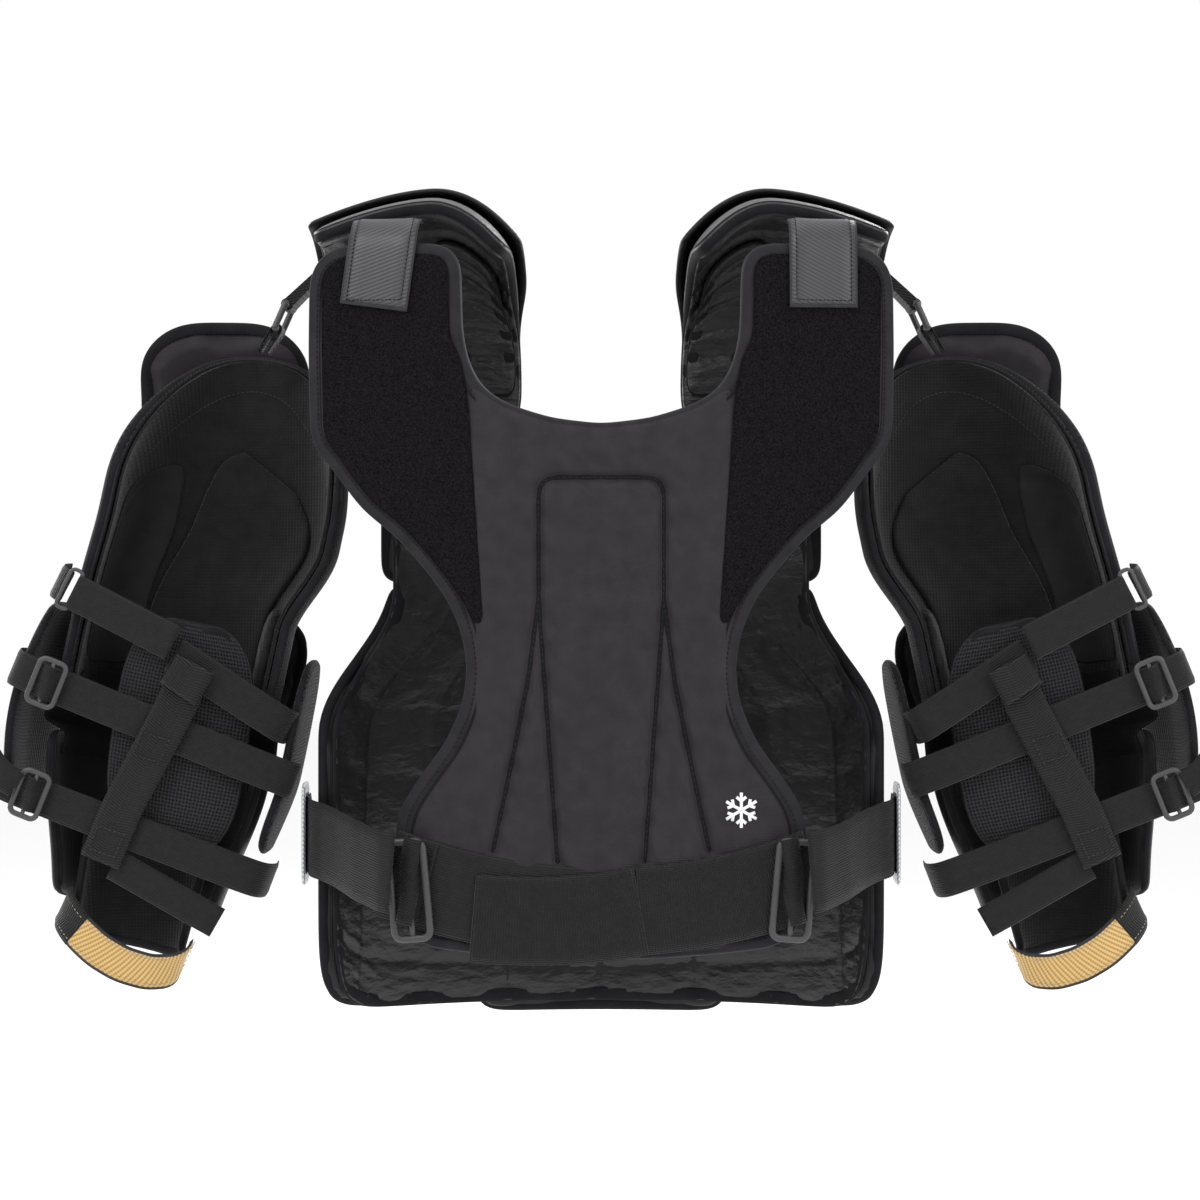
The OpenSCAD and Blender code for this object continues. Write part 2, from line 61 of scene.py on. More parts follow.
# ---------- camera, light and floor ----------
CAMERA_DISTANCE = 2.2
FRAME_WIDTH = 1.068
CAMERA_HEIGHT = -0.3115
FLOOR_Z = -1.0
# name, place and size in metres, and power in watts
LIGHTS = (
    ("key", (-1.6, -2.0, 1.3), 1.2, 34),
    ("fill", (1.9, -1.8, 0.5), 1.4, 20),
    ("top", (0.0, -0.3, 2.0), 1.4, 13),
    ("front_key", (1.4, 2.2, 1.0), 1.4, 28),
    ("front_fill", (-1.8, 1.8, 0.3), 1.4, 18),
)


def add_camera():
    data = bpy.data.cameras.new("camera")
    data.sensor_width = 36
    data.lens = data.sensor_width * CAMERA_DISTANCE / FRAME_WIDTH
    camera = bpy.data.objects.new("camera", data)
    camera.location = (-0.001, -CAMERA_DISTANCE, CAMERA_HEIGHT)
    camera.rotation_euler = (math.pi / 2, 0, 0)
    scene.collection.objects.link(camera)
    scene.camera = camera


def add_light(name, place, aim, size, power):
    data = bpy.data.lights.new(name, "AREA")
    data.shape = "SQUARE"
    data.size = size
    data.energy = power
    light = bpy.data.objects.new(name, data)
    light.location = place
    light.rotation_euler = (Vector(aim) - Vector(place)).to_track_quat("-Z", "Y").to_euler()
    scene.collection.objects.link(light)


def add_studio():
    world = bpy.data.worlds.new("studio")
    world.use_nodes = True
    backdrop = world.node_tree.nodes["Background"].inputs
    backdrop["Color"].default_value = (1, 1, 1, 1)
    backdrop["Strength"].default_value = 1.0
    scene.world = world
    scene.view_settings.view_transform = "Standard"
    middle = (0, 0, -0.3)
    for name, place, size, power in LIGHTS:
        add_light(name, place, middle, size, power)
    bpy.ops.mesh.primitive_circle_add(vertices=96, radius=12, fill_type="NGON", location=(0, 0, FLOOR_Z))
    floor = bpy.context.object
    floor.name = "floor"
    floor.data.materials.append(new_material("floor", (0.93, 0.93, 0.93), 0.9)[0])


# ---------- materials ----------
def new_material(name, colour, roughness, metallic=0.0, sheen=0.0, specular=0.5, coat=0.0):
    mat = bpy.data.materials.new(name)
    mat.use_nodes = True
    shader = mat.node_tree.nodes["Principled BSDF"]
    shader.inputs["Base Color"].default_value = (*colour, 1)
    shader.inputs["Roughness"].default_value = roughness
    shader.inputs["Metallic"].default_value = metallic
    shader.inputs["Specular IOR Level"].default_value = specular
    shader.inputs["Sheen Weight"].default_value = sheen
    shader.inputs["Sheen Roughness"].default_value = 0.45
    shader.inputs["Coat Weight"].default_value = coat
    return mat, mat.node_tree, shader


def node(tree, kind, props=None, **inputs):
    """A new node. An input given as a socket is linked, and any other is set."""
    made = tree.nodes.new("ShaderNode" + kind)
    for key, value in (props or {}).items():
        setattr(made, key, value)
    for key, value in inputs.items():
        socket = made.inputs[int(key[1:])] if key[0] == "i" and key[1:].isdigit() else made.inputs[key]
        if isinstance(value, bpy.types.NodeSocket):
            tree.links.new(value, socket)
        else:
            socket.default_value = value
    return made


def maths(tree, operation, a, b=0.0):
    return node(tree, "Math", {"operation": operation}, i0=a, i1=b).outputs[0]


def object_place(tree):
    return node(tree, "TexCoord").outputs["Object"]


def strap_place(tree):
    return node(tree, "UVMap").outputs["UV"]


def noise(tree, place, scale, detail=3.0, rough=0.55):
    return node(tree, "TexNoise", Vector=place, Scale=scale, Detail=detail, Roughness=rough).outputs["Fac"]


def bands(tree, place, axis, pitch):
    """Smooth ridges across one axis of the place, pitch metres apart, from 0 to 1."""
    axes = node(tree, "SeparateXYZ", Vector=place).outputs
    turn = maths(tree, "MULTIPLY", axes[axis], 2 * math.pi / pitch)
    return maths(tree, "ADD", maths(tree, "MULTIPLY", maths(tree, "SINE", turn), 0.5), 0.5)


def colour_ramp(tree, factor, low, high, start=0.3, end=0.7):
    ramp = node(tree, "ValToRGB", Fac=factor)
    ramp.color_ramp.elements[0].position = start
    ramp.color_ramp.elements[0].color = (*low, 1)
    ramp.color_ramp.elements[1].position = end
    ramp.color_ramp.elements[1].color = (*high, 1)
    return ramp.outputs["Color"]


def finish_material(tree, shader, height=None, strength=0.5, distance=0.001, colour=None, roughness=None):
    if height is not None:
        bump = node(tree, "Bump", Strength=strength, Distance=distance, Height=height)
        tree.links.new(bump.outputs["Normal"], shader.inputs["Normal"])
    if colour is not None:
        tree.links.new(colour, shader.inputs["Base Color"])
    if roughness is not None:
        tree.links.new(roughness, shader.inputs["Roughness"])


def span(tree, factor, low, high):
    return node(tree, "MapRange", Value=factor, **{"To Min": low, "To Max": high}).outputs[0]


def shade(colour, k):
    return tuple(min(1.0, c * k) for c in colour)


def woven(name, colour, roughness=0.6, pitch=0.0016, sheen=0.06, wrinkle=0.0, specular=0.12, strength=0.35):
    """Plain-weave cloth, with soft wrinkles and a slight change of tone."""
    mat, tree, shader = new_material(name, colour, roughness, sheen=sheen, specular=specular)
    place = object_place(tree)
    warp = bands(tree, place, 0, pitch)
    weft = bands(tree, place, 2, pitch)
    weave = maths(tree, "MULTIPLY", warp, weft)
    grain = noise(tree, object_place(tree), 900, 2)
    soft = noise(tree, object_place(tree), 26, 3)
    height = maths(tree, "ADD", maths(tree, "MULTIPLY", weave, 0.5), maths(tree, "MULTIPLY", grain, 0.5))
    if wrinkle:
        height = maths(tree, "ADD", height, maths(tree, "MULTIPLY", soft, wrinkle))
    tone = colour_ramp(tree, noise(tree, object_place(tree), 60, 5), shade(colour, 0.78), shade(colour, 1.25))
    finish_material(tree, shader, height, strength, 0.0006 if not wrinkle else 0.0015, tone,
                    span(tree, soft, roughness - 0.08, roughness + 0.1))
    return mat


MESH_PITCH = 0.0032


def spacer_mesh(name, colour):
    """Three-dimensional mesh: rows of small holes in a knitted face, with painted shade in the holes."""
    mat, tree, shader = new_material(name, colour, 0.7, sheen=0.06, specular=0.12)
    cell = node(tree, "TexVoronoi", {"feature": "F1"}, Vector=strap_place(tree), Scale=1 / MESH_PITCH,
                Randomness=0.12)
    hole = cell.outputs["Distance"]
    # Painted shade: the holes are painted nearly black against the knitted face.
    face = colour_ramp(tree, hole, shade(colour, 0.12), shade(colour, 2.3), 0.16, 0.46)
    finish_material(tree, shader, colour_ramp(tree, hole, (0, 0, 0), (1, 1, 1), 0.1, 0.5), 0.9, 0.0012, face)
    return mat


def loop_pile(name, colour):
    """Loop side of hook and loop: a matt, speckled pile."""
    mat, tree, shader = new_material(name, colour, 0.95, sheen=0.0, specular=0.04)
    fine = noise(tree, object_place(tree), 1500, 4, 0.75)
    coarse = noise(tree, object_place(tree), 620, 4, 0.7)
    # Painted light: the speckle is paler where both noises, and so the bump, are high, a painted highlight on
    # the raised pile with painted shade between.
    tone = colour_ramp(tree, maths(tree, "MULTIPLY", fine, maths(tree, "MULTIPLY", coarse, 2)),
                       shade(colour, 0.25), shade(colour, 4.2), 0.32, 0.72)
    finish_material(tree, shader, maths(tree, "ADD", fine, coarse), 1.0, 0.003, tone)
    return mat


def elastic(name, colour, rib=0.0021, across_rib=0.0014, across=0.35):
    """Woven elastic: fine ribs along the strap, crossed by the weft, with painted highlights on the rib
    crests, broken up by noise.
    """
    mat, tree, shader = new_material(name, colour, 0.62, sheen=0.08, specular=0.14)
    place = strap_place(tree)
    along = bands(tree, place, 0, rib)
    crossed = bands(tree, place, 1, across_rib)
    height = maths(tree, "ADD", along, maths(tree, "MULTIPLY", crossed, across))
    highlight_noise = noise(tree, object_place(tree), 140, 5, 0.7)
    # Painted highlight: the rib and weft crests are painted paler, most where the noise is high.
    tone = colour_ramp(tree, maths(tree, "MULTIPLY", maths(tree, "MAXIMUM", along, crossed), highlight_noise),
                       shade(colour, 0.6), shade(colour, 1.7), 0.1, 0.75)
    finish_material(tree, shader, height, 0.8, 0.0007, tone)
    return mat


def webbing(name, colour, uv=True):
    """Nylon webbing: a twill whose ridges cross the strap in a shallow V."""
    mat, tree, shader = new_material(name, colour, 0.5, sheen=0.06, specular=0.18)
    place = strap_place(tree) if uv else object_place(tree)
    axes = node(tree, "SeparateXYZ", Vector=place).outputs
    bent = maths(tree, "ADD", axes[1 if uv else 2],
                 maths(tree, "MULTIPLY", maths(tree, "ABSOLUTE", axes[0]), 0.25))
    ridge = maths(tree, "SINE", maths(tree, "MULTIPLY", bent, 2 * math.pi / 0.0024))
    rows = bands(tree, place, 0, 0.0045)
    height = maths(tree, "ADD", ridge, maths(tree, "MULTIPLY", rows, 0.4))
    # Painted light: the twill's ridges are painted paler and its hollows darker, a painted highlight and
    # painted shade.
    tone = colour_ramp(tree, maths(tree, "ADD", maths(tree, "MULTIPLY", ridge, 0.5), 0.5),
                       shade(colour, 0.55), shade(colour, 1.5), 0.0, 1.0)
    finish_material(tree, shader, height, 0.8, 0.0008, tone)
    return mat


def carbon_vinyl(name, colour, metallic, roughness=0.34, pitch=0.0052):
    """Coated vinyl embossed with a two-by-two twill."""
    mat, tree, shader = new_material(name, colour, roughness, metallic=metallic, specular=0.35, coat=0.12)
    shader.inputs["Coat Roughness"].default_value = 0.25
    axes = node(tree, "SeparateXYZ", Vector=strap_place(tree)).outputs
    column = maths(tree, "FLOOR", maths(tree, "DIVIDE", axes[0], pitch / 2))
    step = maths(tree, "ADD", maths(tree, "DIVIDE", axes[1], pitch), maths(tree, "MULTIPLY", column, 0.25))
    tow = maths(tree, "FRACT", step)
    lit = maths(tree, "SUBTRACT", 1.0, maths(tree, "ABSOLUTE",
                                             maths(tree, "SUBTRACT", maths(tree, "MULTIPLY", tow, 2), 1.0)))
    tone = colour_ramp(tree, lit, shade(colour, 0.62), shade(colour, 1.25), 0.15, 0.7)
    finish_material(tree, shader, lit, 0.5, 0.0005, tone, span(tree, lit, roughness + 0.12, roughness - 0.06))
    return mat


def plastic(name, colour, roughness=0.42, grain=700):
    """Moulded plastic with a fine spark texture, paler at its convex edges."""
    mat, tree, shader = new_material(name, colour, roughness, specular=0.5)
    spark = noise(tree, object_place(tree), grain, 2)
    point = node(tree, "NewGeometry").outputs["Pointiness"]
    tone = colour_ramp(tree, point, colour, shade(colour, 1.9), 0.5, 0.62)
    finish_material(tree, shader, spark, 0.25, 0.0004, tone,
                    span(tree, spark, roughness - 0.06, roughness + 0.1))
    return mat


def pebbled(name, colour):
    """Pebbled synthetic leather."""
    mat, tree, shader = new_material(name, colour, 0.5, specular=0.12)
    cell = node(tree, "TexVoronoi", {"feature": "SMOOTH_F1"}, Vector=object_place(tree),
                Scale=520).outputs["Distance"]
    soft = noise(tree, object_place(tree), 22, 3)
    height = maths(tree, "ADD", cell, maths(tree, "MULTIPLY", soft, 2.0))
    # Painted light: the pebbles' middles are painted paler and the creases between them darker, a painted
    # highlight and painted shade.
    tone = colour_ramp(tree, cell, shade(colour, 1.3), shade(colour, 0.7), 0.1, 0.8)
    finish_material(tree, shader, height, 0.35, 0.001, tone)
    return mat


def satin(name, colour):
    """Shiny satin nylon that puckers near its quilting."""
    mat, tree, shader = new_material(name, colour, 0.36, sheen=0.03, specular=0.42)
    stretched = node(tree, "Mapping", Vector=object_place(tree), Scale=(1, 1, 2.2),
                     Rotation=(0, 0.5, 0)).outputs[0]
    folds = noise(tree, stretched, 48, 4, 0.5)
    fine = noise(tree, object_place(tree), 1300, 2)
    height = maths(tree, "ADD", maths(tree, "MULTIPLY", folds, 1.0), maths(tree, "MULTIPLY", fine, 0.08))
    # Painted light: the fold crests are painted paler and the fold hollows darker, from the same noise as the
    # bump.
    tone = colour_ramp(tree, folds, shade(colour, 0.8), shade(colour, 1.2))
    finish_material(tree, shader, height, 0.75, 0.0045, tone, span(tree, folds, 0.28, 0.42))
    return mat


MATERIALS = {
    "nylon": woven("nylon", (0.0085, 0.0083, 0.0092), 0.5, wrinkle=0.8, specular=0.2),
    "back_nylon": woven("back_nylon", (0.0180, 0.0155, 0.0180), 0.5, pitch=0.0017, wrinkle=0.45,
                        specular=0.16),
    "flap_nylon": woven("flap_nylon", (0.0175, 0.0150, 0.0180), 0.5, pitch=0.0015, wrinkle=0.8,
                        specular=0.16),
    "satin": satin("satin", (0.0080, 0.0078, 0.0090)),
    "brushed": woven("brushed", (0.0100, 0.0096, 0.0104), 0.85, pitch=0.0030, sheen=0.16, specular=0.1,
                     wrinkle=0.7, strength=0.6),
    "gusset": woven("gusset", (0.0050, 0.0050, 0.0055), 0.85, pitch=0.0020, sheen=0.05, specular=0.05,
                    wrinkle=0.9),
    "mesh": spacer_mesh("mesh", (0.0095, 0.0093, 0.0102)),
    "vinyl": pebbled("vinyl", (0.0110, 0.0108, 0.0118)),
    "binding": woven("binding", (0.0155, 0.0144, 0.0165), 0.7, pitch=0.0013, sheen=0.04),
    "trim": woven("trim", (0.0098, 0.0094, 0.0106), 0.75, pitch=0.0013, sheen=0.03, specular=0.08),
    "loop": loop_pile("loop", (0.0062, 0.0056, 0.0066)),
    "elastic": elastic("elastic", (0.0104, 0.0101, 0.0105)),
    "ribbed": elastic("ribbed", (0.0112, 0.0108, 0.0112), rib=0.0016, across_rib=0.0023, across=1.5),
    "webbing": webbing("webbing", (0.0100, 0.0097, 0.0102)),
    "loop_webbing": webbing("loop_webbing", (0.0120, 0.0118, 0.0125), uv=False),
    "glide": plastic("glide", (0.0240, 0.0240, 0.0255)),
    "tab_grey": carbon_vinyl("tab_grey", (0.036, 0.036, 0.040), 0.05, 0.4, pitch=0.0034),
    "tab_silver": carbon_vinyl("tab_silver", (0.50, 0.52, 0.55), 0.35, pitch=0.004),
    "gold": carbon_vinyl("gold", (0.46, 0.295, 0.105), 0.12, 0.4, pitch=0.0042),
    "thread": woven("thread", (0.0050, 0.0050, 0.0055), 0.7, pitch=0.001),
    "pale_thread": woven("pale_thread", (0.42, 0.36, 0.24), 0.6, pitch=0.001),
    "grey_thread": woven("grey_thread", (0.030, 0.030, 0.033), 0.6, pitch=0.001),
    "moulded": plastic("moulded", (0.0135, 0.0135, 0.0150), 0.4, 420),
    "mark": woven("mark", (0.72, 0.72, 0.74), 0.55, pitch=0.0012),
}


# ---------- numbers and shapes shared with the CAD model (millimetres) ----------
def mix(a, b, t):
    return a + (b - a) * t


def ease(x, a, b):
    t = np.clip((x - a) / (b - a), 0, 1)
    return t * t * (3 - 2 * t)


def sin_d(a):
    return np.sin(np.radians(a))


def cos_d(a):
    return np.cos(np.radians(a))


def stack(x, y, z):
    return np.stack(np.broadcast_arrays(x, y, z), -1).astype(float)


BELLY_HALF_W, CHEST_HALF_W, BELLY_DEPTH = 237, 188, 112
BELLY_BOTTOM, BELLY_TOP, NECKLINE_Z = -684, -300, -148
BELLY_THICK, CHEST_THICK = 17, 22
YOKE_OUT, YOKE_THICK = 250, 20
ARM_X, ARM_Y, ARM_Z, ARM_LEAN = 318, 50, -57, 12
ELBOW_D, ELBOW_CLEAR_R = 300, 82
ELASTIC_T = 2.2


def front_at(u, z):
    s = ease(z, -440, -300)
    a, y_mid, y_edge = mix(80, 58, s), mix(BELLY_DEPTH, BELLY_DEPTH - 8, s), mix(-4, 48, s)
    half_w = mix(BELLY_HALF_W, CHEST_HALF_W, ease(z, -430, -305))
    return stack(half_w * sin_d(a * u) / sin_d(a),
                 y_edge + (y_mid - y_edge) * (cos_d(a * u) - cos_d(a)) / (1 - cos_d(a)), z)


def belly_foot(u):
    return BELLY_BOTTOM + 6 * np.abs(u) ** 2 + 38 * np.abs(u) ** 12


def front_sheet(u, v):
    return front_at(u, mix(NECKLINE_Z, belly_foot(u), v))


def belly_sheet(u, v):
    return front_at(u, mix(BELLY_TOP, belly_foot(u), v))


def chest_sheet(u, v):
    return front_at(u, mix(NECKLINE_Z, BELLY_TOP + 3, v))


YOKE_PATH = [(-74, 6), (58, 38), (112, -30), (104, NECKLINE_Z + 4)]


def yoke_sheet(u, v):
    w = (u + 1) / 2
    c = [(1 - v) ** 3, 3 * (1 - v) ** 2 * v, 3 * (1 - v) * v ** 2, v ** 3]
    y = sum(k * p[0] for k, p in zip(c, YOKE_PATH))
    z = sum(k * p[1] for k, p in zip(c, YOKE_PATH))
    x = mix(mix(84, 74, v), mix(YOKE_OUT, 182, ease(v, 0.5, 1)), w)
    inner = 20 - 42 * np.clip((0.38 - w) / 0.38, 0, 2) ** 2
    outer = 20 - 28 * np.clip((w - 0.38) / 0.62, 0, 2) ** 1.6
    return stack(x, y, z + np.where(w < 0.38, inner, outer) * ease(1 - v, 0.15, 0.6))


def arm_place(a, y, z):
    """The right arm's own frame to the row frame: a outwards, z (negative) down the arm."""
    c, s = math.cos(math.radians(ARM_LEAN)), math.sin(math.radians(ARM_LEAN))
    return stack(ARM_X + a * c - z * s, y, ARM_Z + a * s + z * c)


def upper_sheet(u, v):
    top = 28 + 100 * np.abs(u) ** 2.4 + 12 * np.maximum(0, u)
    d = mix(top, 362 - 12 * np.abs(u) ** 4, v)
    s = ease(d, 190, 270)
    w, mid, deep = mix(mix(68, 96, ease(d, 20, 170)), 86, s), mix(-16, -2, s), mix(84, 72, s)
    return arm_place(mid + w * sin_d(98 * u), 14 + deep * cos_d(98 * u), -d)


def bicep_sheet(u, v):
    """The biceps panel: its top edge climbs from the inner side to a peak at its outer corner."""
    s = (u + 1) / 2
    d_top = np.interp(s, [0, 0.3, 0.85, 1], [180, 146, 118, 124])
    u_in, u_out = -0.60, mix(0.13, 0.36, np.clip(v, 0, 1) ** 0.7)
    uu = mix(u_in, u_out, s)
    d = mix(d_top, 334, v)
    top = 28 + 100 * np.abs(uu) ** 2.4 + 12 * np.maximum(0, uu)
    return upper_sheet(uu, (d - top) / (362 - 12 * np.abs(uu) ** 4 - top))


def floater_sheet(u, v):
    x = mix(276, 432, (1 + u * (1 - 0.16 * np.abs(2 * v - 1) ** 5)) / 2)
    drop = 10 * np.abs(u) ** 6
    return stack(x, mix(126, 142, ease(v, 0, 0.6)) - 14 * ((x - 318) / 130) ** 2,
                 mix(-52 - drop, -188 + drop, v))


def elbow_sheet(u, v):
    """The elbow cup. Its upper edge tucks in 4 mm less than the CAD model's, to clear the bent upper arm."""
    a = mix(-36 + 14 * np.abs(u) ** 4, 70 - 8 * np.abs(u) ** 4, v)
    r = mix(ELBOW_CLEAR_R - 13, ELBOW_CLEAR_R, ease(a, -36, -12)) - 14 * u * u
    return arm_place(-2 + 100 * u, ARM_Y + r * cos_d(a), -ELBOW_D - r * sin_d(a))


def wing_out_sheet(u, v):
    d = mix(288 + 22 * np.abs(u) ** 3, 474 - 20 * np.abs(u) ** 3, v)
    return arm_place(109 + 18 * ease(u, -1, 0.1) * sin_d(140 * v + 20), 52 - 56 * u, -d)


def wing_in_sheet(u, v):
    d = mix(292 + 22 * np.abs(u) ** 3, 470 - 20 * np.abs(u) ** 3, v)
    return arm_place(-119 - 4 * cos_d(80 * u) * sin_d(150 * v + 10) + 8 * ease(d, 400, 474), 52 + 56 * u, -d)


def forearm_sheet(u, v):
    d = mix(400, 548 - 10 * np.abs(u) ** 4, v)
    return arm_place(-3 - 6 * v + mix(90, 62, ease(d, 400, 560)) * sin_d(100 * u), 30 + 62 * cos_d(100 * u),
                     -d)


def mesh_pad_sheet(u, v):
    half = 57 * np.clip(1 - np.abs(2 * v - 1) ** 3.2, 0, 1) ** 0.4 + 3
    return arm_place(mix(-16, -30, v) - half * u, -7 + 8 * u * u, -mix(274, 486, v))


def sleeve_sheet(u, v):
    d = mix(340, 420, v)
    w = mix(78.5, 86, v) + 23 * ease(d, 354, 368) * (1 - ease(d, 389, 401))
    y0, deep = mix(14, 26, ease(d, 345, 420)), mix(64, 48, ease(d, 345, 372))
    return arm_place(-2 + w * sin_d(88 * u), y0 + deep * cos_d(88 * u), -d)


def cuff_sheet(u, v):
    d = mix(476, 582 - 14 * np.abs(u) ** 4, v)
    return arm_place(-10 + mix(58, 52, v) * sin_d(104 * u), 30 + 44 * cos_d(104 * u), -d)


# ---------- mesh building ----------
def make_object(name, points, faces, uvs=None):
    """A smooth mesh object from points in millimetres. uvs holds one (u, v) in metres for each point."""
    mesh = bpy.data.meshes.new(name)
    mesh.from_pydata((np.asarray(points) * MM).tolist(), [], faces)
    if uvs is not None:
        layer = mesh.uv_layers.new(name="UVMap")
        corners = np.empty(len(mesh.loops), int)
        mesh.loops.foreach_get("vertex_index", corners)
        layer.data.foreach_set("uv", np.asarray(uvs, np.float32)[corners].ravel())
    work = bmesh.new()
    work.from_mesh(mesh)
    bmesh.ops.recalc_face_normals(work, faces=work.faces)
    work.to_mesh(mesh)
    work.free()
    mesh.polygons.foreach_set("use_smooth", [True] * len(mesh.polygons))
    made = bpy.data.objects.new(name, mesh)
    scene.collection.objects.link(made)
    return made


def squircle(s, t, p):
    """Rounds the corners of the square grid s, t."""
    size = np.maximum(np.abs(s), np.abs(t))
    length = (np.abs(s) ** p + np.abs(t) ** p) ** (1 / p)
    k = np.where(length > 1e-9, size / np.maximum(length, 1e-9), 1)
    return s * k, t * k


def normals(f, u, v):
    e = 0.004
    n = np.cross(f(u + e, v) - f(u - e, v), f(u, v + e) - f(u, v - e))
    return n / np.linalg.norm(n, axis=-1, keepdims=True)


def path_distance(points, lines):
    """Distance from each point to the nearest of the polylines."""
    flat = points.reshape(-1, 3)
    best = np.full(len(flat), 1e9)
    for line in lines:
        for a, b in zip(line[:-1], line[1:]):
            ab = b - a
            t = np.clip(((flat - a) @ ab) / max(ab @ ab, 1e-9), 0, 1)
            best = np.minimum(best, np.linalg.norm(flat - a - t[:, None] * ab, axis=1))
    return best.reshape(points.shape[:-1])


def along_seam(line):
    """The u and v of 24 spots along a polyline of (u, v) corners."""
    line = np.asarray(line, float)
    t = np.linspace(0, len(line) - 1, 24)
    return [np.interp(t, np.arange(len(line)), line[:, k]) for k in (0, 1)]


def on_sheet(f, line):
    """A polyline of (u, v) corners as points on the sheet."""
    return f(*along_seam(line))


def grid_faces(rows, columns, start=0):
    i, j = np.meshgrid(np.arange(rows - 1), np.arange(columns - 1), indexing="ij")
    a = start + (i * columns + j).ravel()
    return np.stack([a, a + 1, a + columns + 1, a + columns], 1).tolist()


def border(rows, columns):
    """Indices round the edge of a grid."""
    first = [j for j in range(columns)]
    right = [i * columns + columns - 1 for i in range(1, rows)]
    last = [(rows - 1) * columns + j for j in range(columns - 2, -1, -1)]
    left = [i * columns for i in range(rows - 2, 0, -1)]
    return first + right + last + left


class Pad:
    """A padded sheet between the offsets low and high along its normal."""

    def __init__(self, f, low, high, u=(-1, 1), v=(0, 1), cells=(44, 44), corner=9, edge=0.55, round_over=8):
        self.f, self.low, self.high, self.u, self.v, self.corner, self.edge = f, low, high, u, v, corner, edge
        s, t = (np.sin(np.linspace(-1, 1, n + 1) * math.pi / 2 * 0.92) / math.sin(math.pi / 2
                * 0.92) for n in cells)
        self.s, self.t = np.meshgrid(s, t, indexing="ij")
        self.U, self.V = self.spot(self.s, self.t)
        self.base = f(self.U, self.V)
        self.normal = normals(f, self.U, self.V)
        size = np.maximum(np.abs(self.s), np.abs(self.t))
        self.profile = edge + (1 - edge) * np.sqrt(np.clip(1 - size ** round_over, 0, 1))

    def spot(self, s, t):
        a, b = squircle(s, t, self.corner)
        return mix(self.u[0], self.u[1], (a + 1) / 2), mix(self.v[0], self.v[1], (b + 1) / 2)

    def uvs(self):
        across = np.linalg.norm(np.diff(self.base[:, self.base.shape[1] // 2], axis=0), axis=1).sum()
        along = np.linalg.norm(np.diff(self.base[self.base.shape[0] // 2], axis=0), axis=1).sum()
        flat = np.stack([(self.U - self.u[0]) / (self.u[1] - self.u[0]) * across,
                         (self.V - self.v[0]) / (self.v[1] - self.v[0]) * along], -1).reshape(-1, 2) * MM
        return np.concatenate([flat, flat])

    def build(self, name, seams=(), groove=3.0, reach=4.0, puff=0.0, under=False, wave=0.0):
        """seams are polylines of (u, v) sewn down by groove, with the cloth rising by puff between them."""
        middle, half = (self.low + self.high) / 2, (self.high - self.low) / 2
        top, bottom = middle + half * self.profile, middle - half * self.profile
        change = np.zeros_like(top)
        if len(seams):
            gap = path_distance(self.base, [on_sheet(self.f, line) for line in seams])
            full = ease(self.profile, self.edge + 0.02, self.edge + 0.4)
            change += puff * (1 - np.exp(-(gap / 26) ** 2)) * full
            change -= groove * np.exp(-(gap / reach) ** 2) * full
            pucker = np.sin(self.base[..., 0] * 0.55 + self.base[..., 2]
                            * 0.47) * np.exp(-((gap - 7) / 6) ** 2)
            change += wave * pucker
        top, bottom = (top, bottom - change) if under else (top + change, bottom)
        rows, columns = top.shape
        points = np.concatenate([(self.base + self.normal * h[..., None]).reshape(-1, 3) for h in (top,
                bottom)])
        count = rows * columns
        faces = grid_faces(rows, columns) + [f[::-1] for f in grid_faces(rows, columns, count)]
        loop = border(rows, columns)
        faces += [[a, b, b + count, a + count] for a, b in zip(loop, loop[1:] + loop[:1])]
        return make_object(name, points, faces, self.uvs())

    def rim(self, count):
        """Points, normals and inward directions round the pad's edge."""
        k = np.linspace(0, 4, count, endpoint=False)
        s = np.interp(k, [0, 1, 2, 3, 4], [-1, 1, 1, -1, -1])
        t = np.interp(k, [0, 1, 2, 3, 4], [-1, -1, 1, 1, -1])
        U, V = self.spot(s, t)
        base, up = self.f(U, V), normals(self.f, U, V)
        along = np.roll(base, -1, 0) - np.roll(base, 1, 0)
        inward = np.cross(up, along)
        inward /= np.linalg.norm(inward, axis=1, keepdims=True)
        return base + up * (self.low + self.high) / 2, up, inward

    def band(self, name, width=9.0, count=200, proud=0.8):
        """Folded tape round the pad's edge."""
        base, up, inward = self.rim(count)
        return fold_tape(name, base, up, inward, width, (self.high - self.low) / 2 * self.edge + proud)

    def sewing(self, name, inset, side=1):
        """Stitches inset from the edge, on the outer (side 1) or inner (side -1) face."""
        base, up, inward = self.rim(200)
        lift = (self.high - self.low) / 2 * self.edge + 1.3
        return stitches(name, base + inward * inset + up * lift * side, up * side, closed=True)


def fold_tape(name, base, up, inward, width, half, tip=1.4):
    """A closed tape wrapped over an edge: base is the edge's middle line."""
    section = [(width, half), (width - 1.2, half + 0.7), (2.0, half + 0.5), (0.2, half * 0.72),
               (-tip * 0.8, half * 0.4),
               (-tip, 0), (-tip * 0.8, -half * 0.4), (0.2, -half * 0.72), (2.0, -half - 0.5),
               (width - 1.2, -half - 0.7),
               (width, -half)]
    rings = np.stack([base + inward * a + up * b for a, b in section], 1)
    return sweep(name, rings, True)


